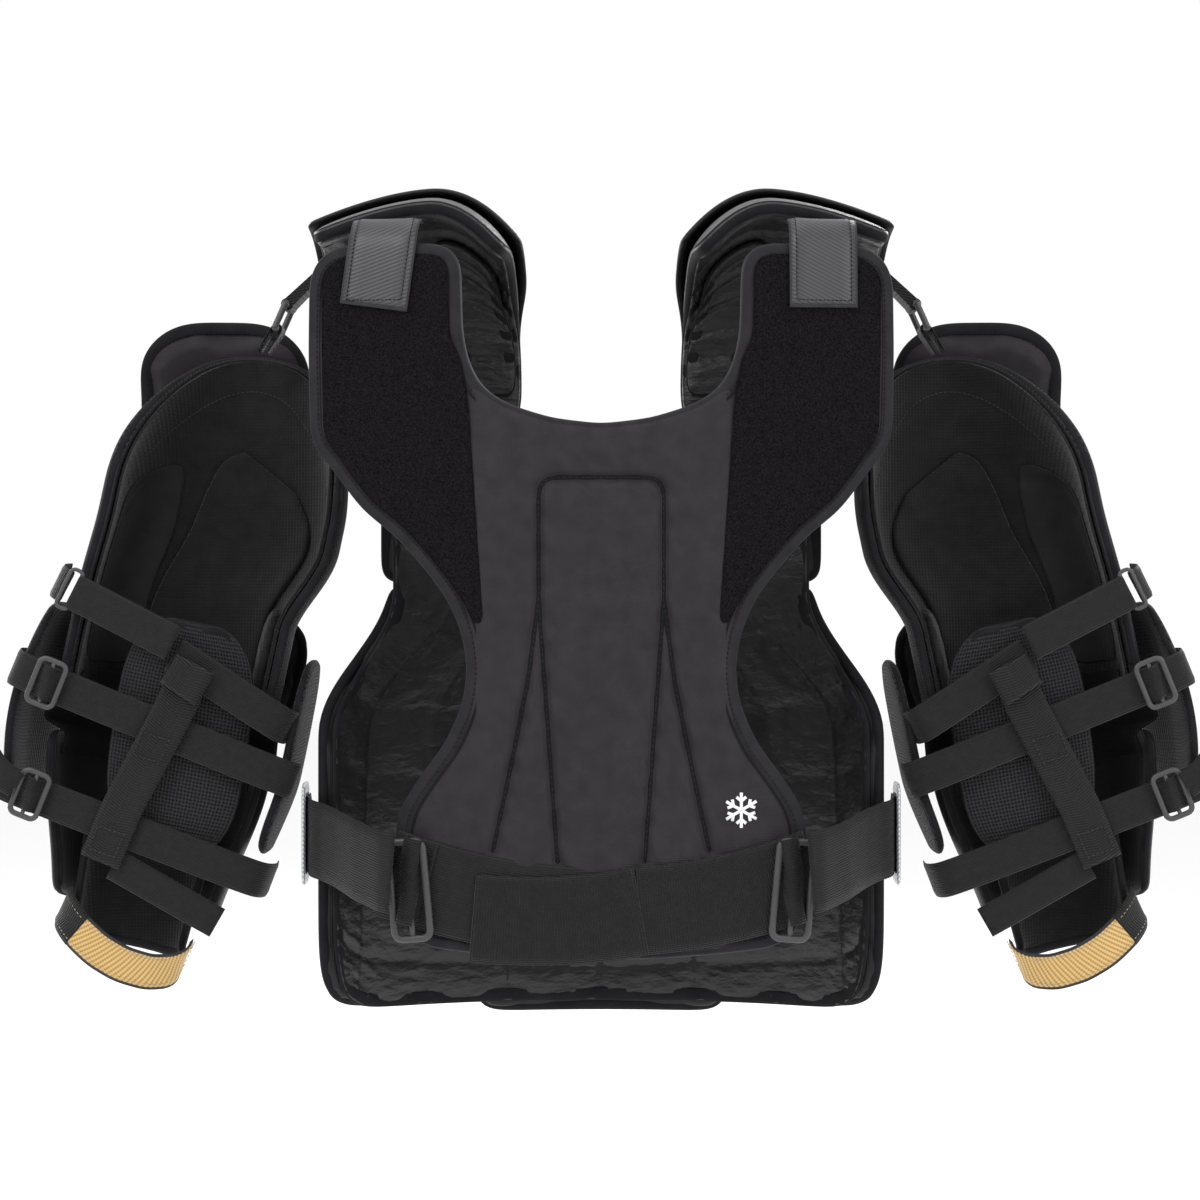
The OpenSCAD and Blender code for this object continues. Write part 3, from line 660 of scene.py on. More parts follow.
def sweep(name, rings, closed_path, uvs=None):
    """Skins a row of closed rings, and caps the ends of an open row."""
    count, sides = rings.shape[:2]
    points = rings.reshape(-1, 3)
    faces = []
    for i in range(count if closed_path else count - 1):
        a, b = i * sides, ((i + 1) % count) * sides
        faces += [[a + k, a + (k + 1) % sides, b + (k + 1) % sides, b + k] for k in range(sides)]
    if not closed_path:
        faces += [list(range(sides))[::-1], [(count - 1) * sides + k for k in range(sides)]]
    if uvs is None:
        run = np.concatenate([[0], np.cumsum(np.linalg.norm(np.diff(rings[:, 0], axis=0), axis=1))])
        girth = np.linspace(0, 1, sides) * np.linalg.norm(rings[0] - rings[0].mean(0), axis=1).mean() * 2
        uvs = np.stack([np.broadcast_to(girth, (count, sides)),
                        np.broadcast_to(run[:, None], (count, sides))], -1)
    return make_object(name, points, faces, uvs.reshape(-1, 2) * MM if uvs.max() > 1 else uvs.reshape(-1, 2))


def resample(path, step, closed=False):
    path = np.asarray(path, float)
    if closed:
        path = np.concatenate([path, path[:1]])
    run = np.concatenate([[0], np.cumsum(np.linalg.norm(np.diff(path, axis=0), axis=1))])
    count = max(2, int(round(run[-1] / step)))
    t = np.linspace(0, run[-1], count + 1)
    out = np.stack([np.interp(t, run, path[:, k]) for k in range(path.shape[1])], 1)
    return out[:-1] if closed else out


def soften(path, passes, closed=False):
    path = np.asarray(path, float)
    for _ in range(passes):
        if closed:
            path = (np.roll(path, 1, 0) + 2 * path + np.roll(path, -1, 0)) / 4
        else:
            inner = (path[:-2] + 2 * path[1:-1] + path[2:]) / 4
            path = np.concatenate([path[:1], inner, path[-1:]])
    return path


def unit(v):
    return v / np.maximum(np.linalg.norm(v, axis=-1, keepdims=True), 1e-9)


def stitches(name, path, up, closed=False, pitch=4.4, length=3.2, radius=0.5):
    """Short thread stitches laid along a path on a surface."""
    path = np.asarray(path, float)
    joined = np.concatenate([path, up], 1)
    spots = resample(joined, pitch, closed)
    ahead = np.roll(spots[:, :3], -1, 0) - spots[:, :3]
    if not closed:
        ahead[-1] = ahead[-2]
    ahead, out = unit(ahead), unit(spots[:, 3:])
    side = unit(np.cross(ahead, out))
    rings = [(-0.5, 0.25), (-0.3, 1.0), (0.3, 1.0), (0.5, 0.25)]
    sides = 5
    points, faces = [], []
    for i, (p, a, o, w) in enumerate(zip(spots[:, :3], ahead, out, side)):
        start = i * len(rings) * sides
        for x, r in rings:
            for k in range(sides):
                t = 2 * math.pi * k / sides
                points.append(p + a * x * length + (w * math.cos(t) + o * math.sin(t)) * radius * r)
        for n in range(len(rings) - 1):
            q = start + n * sides
            faces += [[q + k, q + (k + 1) % sides, q + sides + (k + 1) % sides,
                       q + sides + k] for k in range(sides)]
        faces += [[start + k for k in range(sides)][::-1], [start + 3 * sides + k for k in range(sides)]]
    return make_object(name, np.array(points), faces)


def ribbon(name, path, across, width, thick=ELASTIC_T, step=4.0, taper=None):
    """A flat strap: path is its middle line and across its width direction at each point."""
    path, across = np.asarray(path, float), np.asarray(across, float)
    if across.ndim == 1:
        across = np.broadcast_to(across, path.shape)
    both = soften(resample(np.concatenate([path, across], 1), step), 3)
    path, across = both[:, :3], unit(both[:, 3:])
    ahead = unit(np.gradient(path, axis=0))
    up = unit(np.cross(across, ahead))
    across = unit(np.cross(ahead, up))
    run = np.concatenate([[0], np.cumsum(np.linalg.norm(np.diff(path, axis=0), axis=1))])
    wide = np.full(len(path), width / 2) if taper is None else width / 2 * taper(run / run[-1])
    lanes = np.linspace(-1, 1, 9)
    edge = np.where(np.abs(lanes) > 0.95, 0.35, np.where(np.abs(lanes) > 0.7, 1.12, 1.0)) * thick / 2
    section = [(k, h) for k, h in zip(lanes, edge)] + [(k, -h) for k, h in zip(lanes[::-1], edge[::-1])]
    rings = np.stack([path + across * (wide * k)[:, None] + up * h for k, h in section], 1)
    uvs = np.stack([np.stack([wide * k, run], -1) for k, h in section], 1) * MM
    return sweep(name, rings, False, uvs)


def mirror(piece, name):
    """The other side's copy of a right-hand piece."""
    twin = piece.copy()
    twin.data = piece.data.copy()
    twin.name = name
    work = bmesh.new()
    work.from_mesh(twin.data)
    for vert in work.verts:
        vert.co.x = -vert.co.x
    bmesh.ops.reverse_faces(work, faces=work.faces)
    work.to_mesh(twin.data)
    work.free()
    scene.collection.objects.link(twin)
    return twin


# ---------- putting pieces in the frame ----------
def put(piece, body, look, replaces=(), bend=None):
    """Gives a piece its look and hides the CAD nodes that it stands for. Without a bend it is parented to its
    body; with one, its place is baked into its mesh and it gets no body.
    """
    piece.data.materials.clear()
    piece.data.materials.append(MATERIALS[look])
    if replaces:
        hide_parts(*replaces)
    if bend:
        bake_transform(piece)
    else:
        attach(piece, body)
    return piece


def other_side(text):
    return text.replace("right", "left")


def flip(point):
    return (-point[0], point[1], point[2])


def put_both(piece, body, look, replaces=(), bend=None):
    """Puts a right-hand piece and its mirror image."""
    twin = mirror(piece, other_side(piece.name))
    put(piece, body, look, replaces, bend)
    if bend:
        bend = (other_side(bend[0]), other_side(bend[1]), flip(bend[2]), flip(bend[3]))
    put(twin, other_side(body), look, [other_side(r) for r in replaces], bend)


# ---------- cloth simulation for the padded pieces ----------
FILL_FRAMES = 20
FILL_VOXEL = 0.005
FILL_PRESSURE = 4.0
SEAM_GRIP = 4.0


def evaluated(piece):
    return piece.evaluated_get(bpy.context.evaluated_depsgraph_get())


def bake_modifiers(piece):
    mesh = bpy.data.meshes.new_from_object(evaluated(piece))
    piece.modifiers.clear()
    piece.data = mesh


def vertex_places(piece):
    places = np.empty(len(piece.data.vertices) * 3)
    piece.data.vertices.foreach_get("co", places)
    return places.reshape(-1, 3)


def inflate(piece, cap, hold=()):
    """Fills a pad by cloth simulation. Lines in hold (mm) stay sewn down, and cap limits the swelling."""
    remesh = piece.modifiers.new("remesh", "REMESH")
    remesh.mode = "VOXEL"
    remesh.voxel_size = FILL_VOXEL
    bake_modifiers(piece)
    rest = vertex_places(piece)
    cloth = piece.modifiers.new("fill", "CLOTH")
    cloth.settings.quality = 4
    cloth.settings.mass = 0.3
    cloth.settings.tension_stiffness = 12
    cloth.settings.compression_stiffness = 12
    cloth.settings.bending_stiffness = 0.4
    cloth.settings.use_pressure = True
    cloth.settings.uniform_pressure_force = FILL_PRESSURE
    cloth.settings.effector_weights.gravity = 0
    cloth.collision_settings.use_collision = False
    if len(hold):
        near = path_distance(rest / MM, hold) < SEAM_GRIP
        group = piece.vertex_groups.new(name="sewn")
        group.add(np.nonzero(near)[0].tolist(), 1.0, "REPLACE")
        cloth.settings.vertex_group_mass = "sewn"
    cloth.point_cache.frame_start = 1
    cloth.point_cache.frame_end = FILL_FRAMES
    for number in range(1, FILL_FRAMES + 1):
        scene.frame_set(number)
    moved = vertex_places(evaluated(piece)) - rest
    size = np.linalg.norm(moved, axis=1, keepdims=True)
    limit = cap * MM
    moved *= np.where(size > limit, limit / np.maximum(size, 1e-9), 1)
    piece.modifiers.clear()
    piece.vertex_groups.clear()
    piece.data.vertices.foreach_set("co", (rest + moved).ravel())
    piece.data.update()
    scene.frame_set(1)
    smooth = piece.modifiers.new("smooth", "SMOOTH")
    smooth.iterations = 2
    smooth.factor = 0.5
    fine = piece.modifiers.new("fine", "SUBSURF")
    fine.levels = fine.render_levels = 1
    bake_modifiers(piece)
    piece.data.polygons.foreach_set("use_smooth", [True] * len(piece.data.polygons))


# ---------- back panel ----------
BACK_TILT, BACK_HALF_T, BINDING_W = 2, 8, 9
SHOULDER_W, WAIST_W, FLARE_W = 248, 113, 175


def back_point(x, z, out):
    """The back panel's surface, out millimetres from its middle towards the camera side."""
    t = math.radians(BACK_TILT)
    return stack(x, (-116 + 30 * (np.asarray(x) / 250) ** 2 - out) / math.cos(t) - np.asarray(z)
                 * math.tan(t), z)


def back_normal(x):
    slope = 60 * np.asarray(x) / 62500
    t = math.radians(BACK_TILT)
    return unit(stack(slope, -1, -math.tan(t)))


def arc(cx, cz, r, a0, a1, n=8):
    return [(cx + r * math.cos(math.radians(mix(a0, a1, i / n))),
             cz + r * math.sin(math.radians(mix(a0, a1, i / n))))
            for i in range(n + 1)]


def mirrored(half):
    return [(-x, z) for x, z in half[::-1]]


def closed_outline(half):
    """Both halves of an outline given from its top middle to its bottom middle."""
    both = mirrored(half)[:-1] + half[:-1]
    return soften(resample(both, 4.0, closed=True), 10, closed=True)


BACK_HALF = (
    [(0, -163), (42, -158), (80, -146), (101, -132), (112, -113), (118, -87), (119, -50)]
    + arc(139, -30, 20, 180, 90, 4) + arc(SHOULDER_W - 32, -42, 32, 90, 0, 5)
    + [(SHOULDER_W + 1, -100), (SHOULDER_W, -158)] + arc(SHOULDER_W - 32, -165, 32, 0, -50, 4)
    + [(203, -234), (173, -258), (148, -286), (129, -312), (WAIST_W + 4, -341), (WAIST_W, -371),
       (WAIST_W + 4, -400),
       (131, -432), (152, -460), (FLARE_W - 5, -487), (FLARE_W, -510), (FLARE_W, -560)]
    + arc(FLARE_W - 42, -568, 42, 0, -75, 5) + [(90, -613.5), (51, -616), (0, -617)]
)
LOOP_HALF = (
    [(112, -150), (118, -108), (129, -88), (129, -50)] + arc(142, -33, 13, 180, 90, 3)
    + arc(SHOULDER_W - 34, -44, 24, 90, 0, 4) + [(SHOULDER_W - 10, -100), (SHOULDER_W - 11, -158)]
    + arc(SHOULDER_W - 34, -165, 23, 0, -50, 3)
             + [(196, -227), (167, -250), (141, -280), (121, -306), (106, -334), (100, -330)]
)


def inset(outline, distance):
    ahead = unit(np.roll(outline, -1, 0) - np.roll(outline, 1, 0))
    return outline + distance * np.stack([ahead[:, 1], -ahead[:, 0]], 1)


def flat3(points):
    return np.pad(np.asarray(points, float), ((0, 0), (0, 1)))


def ring_of(outline):
    """The outline closed on itself, with a third coordinate of 0."""
    return flat3(np.concatenate([outline, outline[:1]]))


def fill(name, outline, front, back, step=5.0):
    """A closed slab over a flat outline: front(x, z) and back(x, z) give the points of its two faces."""
    lo, hi = outline.min(0), outline.max(0)
    grid = np.stack(np.meshgrid(np.arange(lo[0], hi[0], step), np.arange(lo[1], hi[1], step), indexing="ij"),
                    -1).reshape(-1, 2)
    ring = len(outline)
    away = path_distance(flat3(grid), [ring_of(outline)])
    grid = grid[away > step * 0.6]
    flat = np.concatenate([outline, grid])
    edges = [(i, (i + 1) % ring) for i in range(ring)]
    verts, _, faces, *_ = delaunay_2d_cdt([Vector(p) for p in flat], edges, [list(range(ring))], 1, 1e-6)
    flat = np.array([tuple(v) for v in verts])
    used = sorted({k for f in faces for k in f})
    index = {k: i for i, k in enumerate(used)}
    flat = flat[used]
    faces = [[index[k] for k in f] for f in faces]
    count = len(flat)
    points = np.concatenate([front(flat[:, 0], flat[:, 1]), back(flat[:, 0], flat[:, 1])])
    tally = {}
    for f in faces:
        for a, b in zip(f, f[1:] + f[:1]):
            tally[(a, b)] = tally.get((a, b), 0) + 1
    open_edges = [(a, b) for (a, b) in tally if (b, a) not in tally]
    both = faces + [[k + count for k in f[::-1]] for f in faces]
    both += [[b, a, a + count, b + count] for a, b in open_edges]
    return make_object(name, points, both, np.concatenate([flat, flat]) * MM)


def snowflake(x, z, size, rise):
    """A plain six-armed printed snowflake, which lies on the back panel's face."""
    bars = []
    for k in range(6):
        t = math.radians(60 * k + 30)
        ahead = np.array([math.cos(t), math.sin(t)])
        runs = [(np.zeros(2), ahead * size)]
        for turn in (-50, 50):
            b = math.radians(turn)
            side = np.array([ahead[0] * math.cos(b) - ahead[1] * math.sin(b),
                             ahead[0] * math.sin(b) + ahead[1] * math.cos(b)])
            runs.append((ahead * size * 0.52, ahead * size * 0.52 + side * size * 0.36))
        for n, (a, b) in enumerate(runs):
            flat = np.array([x, z]) + a + (b - a) * np.linspace(0, 1, 8)[:, None]
            line = back_point(flat[:, 0], flat[:, 1], rise(flat[:, 0], flat[:, 1]) + 0.25)
            across = back_point(flat[:, 0] - (b - a)[1], flat[:, 1] + (b - a)[0], 0) - back_point(flat[:, 0],
                    flat[:, 1], 0)
            bars.append(ribbon(f"snow_{k}_{n}", line, unit(across), 2.6, 0.7, step=1.5))
    return join("printed_snowflake", bars)


def back_panel():
    outline = closed_outline(BACK_HALF)
    inner = inset(outline, 3.0)
    top_bar = [(-37, -534), (-53, -311), (-53, -222)] + arc(-43, -218, 10, 180, 90, 4) + arc(43, -218, 10,
            90, 0, 4) + [(53, -222), (53, -311), (37, -534)]
    branch = [(53, -311), (62, -380), (76, -450), (92, -525)]
    quilting = [np.array(top_bar, float), np.array(branch, float), np.array(mirrored(branch), float)]
    quilting = [soften(resample(q, 4), 4) for q in quilting]

    def front(x, z):
        flat = np.stack([x, z, np.zeros_like(x)], -1)
        rim_gap = path_distance(flat, [ring_of(outline)])
        gap = path_distance(flat, [flat3(q) for q in quilting])
        out = BACK_HALF_T - 3.4 * np.exp(-(rim_gap / 5) ** 2) + 1.0 * (1 - np.exp(-(rim_gap / 40) ** 2))
        out += 2.0 * (1 - np.exp(-(gap / 16) ** 2)) * (1 - ease(np.abs(x), 96,
                116)) - 5.2 * np.exp(-(gap / 3.6) ** 2)
        out += 0.7 * np.sin(x * 0.31 + z * 0.23) * np.exp(-((gap - 9) / 7) ** 2)
        return out

    def front_face(x, z):
        return back_point(x, z, front(x, z))

    cover = fill("back_cover_front", inner, front_face, lambda x, z: back_point(x, z, 0.0), step=2.6)
    put(cover, "back_panel", "back_nylon", ["back_cover"])
    lining = fill("back_cover_inside", inner, lambda x, z: back_point(x, z, -2.0), lambda x,
                  z: back_point(x, z, -BACK_HALF_T), step=9.0)
    put(lining, "back_panel", "satin", ["back_core", "spine_plate"])

    base = back_point(outline[:, 0], outline[:, 1], 0)
    up = back_normal(outline[:, 0])
    ahead = np.roll(base, -1, 0) - np.roll(base, 1, 0)
    inward = unit(np.cross(ahead, up))
    tape = fold_tape("back_binding_tape", base, up, inward, BINDING_W + 2.5, BACK_HALF_T - 0.2, tip=0.6)
    put(tape, "back_panel", "binding", ["back_binding"])
    sewn = stitches("back_binding_stitches", base + inward * BINDING_W + up * (BACK_HALF_T + 0.6), up,
                    closed=True)
    put(sewn, "back_panel", "thread")
    # Painted shadow: a near-black strip in the thread colour lies along the inner edge of the binding, where
    # the binding's shadow falls.
    binding_shadow_line = inset(outline, BINDING_W + 3.6)
    binding_shadow_strip = ribbon("back_binding_shadow", back_point(binding_shadow_line[:, 0], binding_shadow_line[:, 1], BACK_HALF_T + 0.3),
                      inward, 2.6, 1.6, step=3)
    put(binding_shadow_strip, "back_panel", "thread")
    for i, q in enumerate(quilting):
        # Painted shade: a near-black strip in the thread colour lies in each quilting groove, under the
        # stitches.
        groove_shade_strip = ribbon(f"back_seam_{i}", back_point(q[:, 0], q[:, 1], BACK_HALF_T - 3.6),
                     np.cross(unit(np.gradient(flat3(q)[:, [0, 2, 1]], axis=0)), [0, 1.0, 0]), 4.4, 1.6,
                     step=3)
        put(groove_shade_strip, "back_panel", "thread")
        line = stitches(f"back_quilting_{i}", back_point(q[:, 0], q[:, 1], BACK_HALF_T - 2.6),
                        back_normal(q[:, 0]),
                        pitch=5.2, length=3.4, radius=0.55)
        put(line, "back_panel", "binding")

    put(snowflake(119, -490, 15, front), "back_panel", "mark")

    patch = soften(resample(LOOP_HALF, 4, closed=True), 3, closed=True)
    rng = np.random.default_rng(4)

    def pile(x, z):
        return back_point(x, z, BACK_HALF_T + 2.6 + rng.uniform(-0.35, 0.35, len(x)))

    piece = fill("loop_patch_right", patch, pile, lambda x, z: back_point(x, z, BACK_HALF_T - 1), step=3.2)
    twin = mirror(piece, "loop_patch_left")
    put(piece, "back_panel", "loop", ["loop_patches"])
    put(twin, "back_panel", "loop")


# ---------- waist strap, flap, side straps, tabs ----------
WAIST_Z, STRAP_W = -538, 76
UNDER = BACK_HALF_T + 2
OVER = UNDER + ELASTIC_T + 0.5
GLIDE_X = 163


def waist_top(x):
    return WAIST_Z + 22 * (np.asarray(x) / 150) ** 2


def waist_line(x0, x1, out, drop=(0, 0)):
    x = np.linspace(x0, x1, 40)
    z = waist_top(x) - STRAP_W / 2 - np.linspace(*drop, 40)
    return back_point(x, z, out)


def waist():
    up = np.array([0, 0, 1.0])
    out = UNDER + ELASTIC_T / 2
    left = ribbon("waist_strap_left_run", waist_line(-184, 34, out + 0.3), up, STRAP_W)
    put(left, "back_panel", "elastic", ["waist_strap"])
    right = ribbon("waist_strap_right_run", waist_line(32, 184, OVER + ELASTIC_T / 2 + 0.4), up, STRAP_W - 1)
    put(right, "back_panel", "ribbed")
    flap = ribbon("waist_flap_end", waist_line(34, -109, OVER + ELASTIC_T / 2 + 0.5, (0, 17)), up,
                  STRAP_W - 1, 2.6)
    hinge = back_point(np.array([34.0, 16.0]), waist_top(34) - STRAP_W / 2, OVER) * MM
    bend = ("back_panel", "waist_flap", tuple(hinge[0]), tuple(hinge[1]))
    put(flap, "waist_flap", "ribbed", ["waist_flap"], bend=bend)
    rng = np.random.default_rng(9)
    x = np.linspace(-150, -112, 30)
    fuzz = back_point(x, waist_top(x) - 73 + rng.uniform(-0.8, 0.8, 30), UNDER + ELASTIC_T + 0.1)
    strip = ribbon("waist_hook_strip", fuzz, up, 11, 1.0, step=2)
    put(strip, "back_panel", "loop")


def rounded_rectangle(w, h, r):
    n = 6
    return np.array(arc(w / 2 - r, h / 2 - r, r, 0, 90, n) + arc(-w / 2 + r, h / 2 - r, r, 90, 180, n)
                    + arc(-w / 2 + r, -h / 2 + r, r, 180, 270, n)
                    + arc(w / 2 - r, -h / 2 + r, r, 270, 360, n))


def bar_section(w, t):
    n, p = 10, 3.0
    a = np.linspace(0, 2 * math.pi, n, endpoint=False) + math.pi / n
    c, s = np.cos(a), np.sin(a)
    k = (np.abs(c) ** p + np.abs(s) ** p) ** (-1 / p)
    return np.stack([c * k * w / 2, s * k * t / 2], 1)


def ring_frame(name, w, h, rail, thick, place):
    """A rounded rectangular ring. place turns local (x, y, up) into the row frame."""
    path = resample(rounded_rectangle(w - rail, h - rail, rail * 1.1), 2.2, closed=True)
    ahead = unit(np.roll(path, -1, 0) - np.roll(path, 1, 0))
    inward = np.stack([-ahead[:, 1], ahead[:, 0]], 1)
    section = bar_section(rail, thick)
    flat = path[:, None, :] + inward[:, None, :] * section[None, :, :1]
    rings = place(np.concatenate([flat, np.broadcast_to(section[None, :, 1:], (*flat.shape[:2], 1))], -1))
    return sweep(name, rings, True)


def triglide(name, w, h, rail, bar, thick, place):
    """Three-bar slide with rounded bars."""
    frame_part = ring_frame(name, w, h, rail, thick, place)
    ends = np.linspace(-h / 2 + rail * 0.7, h / 2 - rail * 0.7, 12)
    section = bar_section(bar, thick * 0.8)
    flat = np.stack([np.stack([section[:, 0], np.full(len(section), e), section[:, 1]], -1) for e in ends])
    middle = sweep(name + "_bar", place(flat), False)
    return join(name, [frame_part, middle])


def join(name, pieces):
    """One object from several, keeping their UVs."""
    work = bmesh.new()
    for p in pieces:
        work.from_mesh(p.data)
    mesh = bpy.data.meshes.new(name)
    work.to_mesh(mesh)
    work.free()
    for p in pieces:
        bpy.data.objects.remove(p)
    made = bpy.data.objects.new(name, mesh)
    scene.collection.objects.link(made)
    mesh.polygons.foreach_set("use_smooth", [True] * len(mesh.polygons))
    return made


def framed(origin, x_axis, y_axis, out_axis):
    """A placing function: local x, y and out in millimetres to the row frame."""
    origin, x_axis, y_axis, out_axis = (np.asarray(a, float) for a in (origin, x_axis, y_axis, out_axis))

    def place(p):
        return origin + p[..., :1] * x_axis + p[..., 1:2] * y_axis + p[..., 2:3] * out_axis

    return place


def turned(a, b, degrees):
    c, s = math.cos(math.radians(degrees)), math.sin(math.radians(degrees))
    return a * c + b * s, b * c - a * s


SIDE_ROUTE = [(176, -127, -541), (186, -122, -540), (212, -82, -534), (232, -42, -528), (246, -19, -525),
              (257, -8, -523), (262, 8, -521), (261.5, 30, -519)]


def waist_hardware():
    up = back_normal(GLIDE_X)
    along = unit(np.array([1, 0.156, 0]))
    down = unit(np.cross(up, along))
    x_axis, y_axis = turned(along, down, -5)
    low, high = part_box("waist_triglide_right")
    middle = np.array((low + high) / 2) / MM
    piece = triglide("waist_triglide_frame_right", 37, 89, 6.2, 4.6, 4.6, framed(middle, x_axis, y_axis, up))
    put_both(piece, "waist_triglide_right", "glide", ["waist_triglide_right"])
    x = np.linspace(GLIDE_X - 15, GLIDE_X + 15, 26)
    lift = UNDER + ELASTIC_T + 1.7 + 9.0 * np.exp(-((x - GLIDE_X) / 7.2) ** 4)
    z = waist_top(x) - STRAP_W / 2
    bridge = ribbon("waist_strap_bridge_right", back_point(x, z, lift), np.array([0, 0, 1.0]), STRAP_W - 3,
                    2.0, step=2)
    put_both(bridge, "waist_triglide_right", "elastic")
    route = np.array(SIDE_ROUTE, float)
    fold = ((0.182, -0.118, -0.55), (0.252, -0.012, -0.52))
    for side in ("right", "left"):
        strap = ribbon("side_strap_" + side, route * ((1, 1, 1) if side == "right" else (-1, 1, 1)),
                       np.array([0, 0, 1.0]), 68)
        start, end = fold if side == "right" else (flip(fold[0]), flip(fold[1]))
        put(strap, "torso", "elastic", ["side_straps"] if side == "right" else [],
            bend=("back_panel", "torso", start, end))
    low, high = (np.array(c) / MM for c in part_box("side_tab_right"))
    mid = (low + high) / 2
    place = framed(mid, (0, 1, 0), (0, 0, 1), (1, 0, 0))
    size = high - low
    rim_part = plate("side_tab_edge_right", size[1] - 1.5, size[2] - 1.5, 6, 1.6, place)
    put_both(rim_part, "side_tab_right", "tab_silver", ["side_tab_right"])
    centre = plate("side_tab_face_right", size[1] - 13, size[2] - 16, 4, 2.4, place)
    put_both(centre, "side_tab_right", "vinyl")


def plate(name, w, h, r, half, place):
    """A thin plate with round corners and eased edges."""
    outline = soften(resample(rounded_rectangle(w, h, r), 2.5, closed=True), 2, closed=True)
    outline = outline[::-1]

    def face(sign):
        def make(x, y):
            near = path_distance(np.stack([x, y, np.zeros_like(x)], -1), [ring_of(outline)])
            height = half * (1 - 0.6 * np.exp(-(near / 0.9) ** 2))
            return place(np.stack([x, y, sign * height], -1))
        return make

    return fill(name, outline, face(1), face(-1), step=4.0)


TAB_X = 188
TAB_ROUTE = [(-80.5, 12), (-92, 13), (-103, 8), (-110.5, -5), (-110.8, -30), (-109.8, -64)]


def edge_rows(path, across, offset, lift):
    """A strap's stitch rows as one path, down one edge and back up the other, with its outward directions."""
    side = unit(np.broadcast_to(np.asarray(across, float), path.shape))
    ahead = unit(np.gradient(path, axis=0))
    out = unit(np.cross(side, ahead))
    rows = np.concatenate([path + side * offset + out * lift, (path - side * offset + out * lift)[::-1]])
    return rows, np.concatenate([out, out[::-1]])


def shoulder_tabs():
    for side, sign, lean in (("right", 1, 0.5), ("left", -1, 8)):
        route = np.array([(sign * TAB_X, y, z) for y, z in TAB_ROUTE], float)
        route = soften(resample(route, 3), 3)
        drop = np.clip(12 - route[:, 2], 0, 90)
        route[:, 0] += sign * math.tan(math.radians(lean)) * (drop - 42)
        across = np.array([-sign, -0.18, 0.0])
        under = ribbon("shoulder_tab_edge_" + side, route, across, 59, 2.2, step=3)
        put(under, "shoulder_tab_" + side, "grey_thread", ["shoulder_tab_" + side])
        face = ribbon("shoulder_tab_strip_" + side, route[:-1], across, 56, 3.4, step=3)
        put(face, "shoulder_tab_" + side, "tab_grey")
        rows, out = edge_rows(route[:-2], across, 24, 2.0 * sign)
        sewn = stitches("shoulder_tab_stitches_" + side, rows, out * sign, pitch=3.6, length=2.6, radius=0.42)
        put(sewn, "shoulder_tab_" + side, "thread")


# ---------- torso front and yokes ----------
def torso_front():
    rays = [[(start * 0.55, 0.02), (start, 0.45), (start * 1.08, 0.98)] for start in np.linspace(-0.75, 0.75,
            7)]
    hoops = [[(-0.96, v), (0, v + 0.04), (0.96, v)] for v in (0.2, 0.34, 0.48, 0.6, 0.7, 0.8, 0.91)]
    lining = Pad(front_sheet, -3, 2.2, cells=(130, 130), corner=14, edge=0.6, round_over=14)
    piece = lining.build("chest_lining_quilt", rays + hoops, groove=2.6, reach=3.6, puff=3.2, under=True,
                         wave=0.9)
    put(piece, "torso", "satin", ["chest_lining"])
    put(lining.band("chest_lining_tape", 11), "torso", "trim")

    chest_seams = [[(-0.42, 0), (-0.42, 1)], [(0.42, 0), (0.42, 1)], [(-0.42, 0.5), (0.42, 0.5)],
                   [(-1, 0.55), (-0.42, 0.45)], [(0.42, 0.45), (1, 0.55)]]
    chest = Pad(chest_sheet, 7.5, 7.5 + CHEST_THICK - 3, cells=(100, 46), corner=12, edge=0.5)
    piece = chest.build("chest_block", chest_seams, groove=6, reach=5, puff=2)
    inflate(piece, 5, [on_sheet_out(chest, s, 22) for s in chest_seams])
    put(piece, "torso", "nylon", ["chest_pad", "torso_plates"])
    put(chest.band("chest_block_tape", 9), "torso", "trim")

    middle_seams = [[(-0.36, v), (0.36, v)] for v in (0.2, 0.4, 0.6, 0.8)]
    belly = Pad(belly_sheet, 3.5, 3.5 + BELLY_THICK - 2, u=(-0.36, 0.36), v=(0, 1.028), cells=(40, 90),
                corner=12, edge=0.5)
    piece = belly.build("belly_block", middle_seams, groove=5, reach=5, puff=2)
    inflate(piece, 5, [on_sheet_out(belly, s, 15) for s in middle_seams])
    put(piece, "torso", "nylon", ["belly_pad"])
    put(belly.band("belly_block_tape", 10), "torso", "trim")

    wing_seams = [[(0.385, v), (1, v + 0.06)] for v in (0.15, 0.33, 0.51, 0.69, 0.86)]
    wing = Pad(belly_sheet, 5, 3.5 + BELLY_THICK - 2, u=(0.385, 1), cells=(44, 90), corner=12, edge=0.5)
    piece = wing.build("belly_wing_right", wing_seams, groove=5, reach=5, puff=2)
    inflate(piece, 5, [on_sheet_out(wing, s, 15) for s in wing_seams])
    twin = mirror(piece, "belly_wing_left")
    put(piece, "torso", "nylon", ["belly_wings"])
    put(twin, "torso", "nylon", [])
    put_both(wing.band("belly_wing_tape_right", 10), "torso", "trim")


def on_sheet_out(pad, line, out):
    """A seam's points, moved out to the pad's face, for holding it down while the pad fills."""
    u, v = along_seam(line)
    return pad.f(u, v) + normals(pad.f, u, v) * out


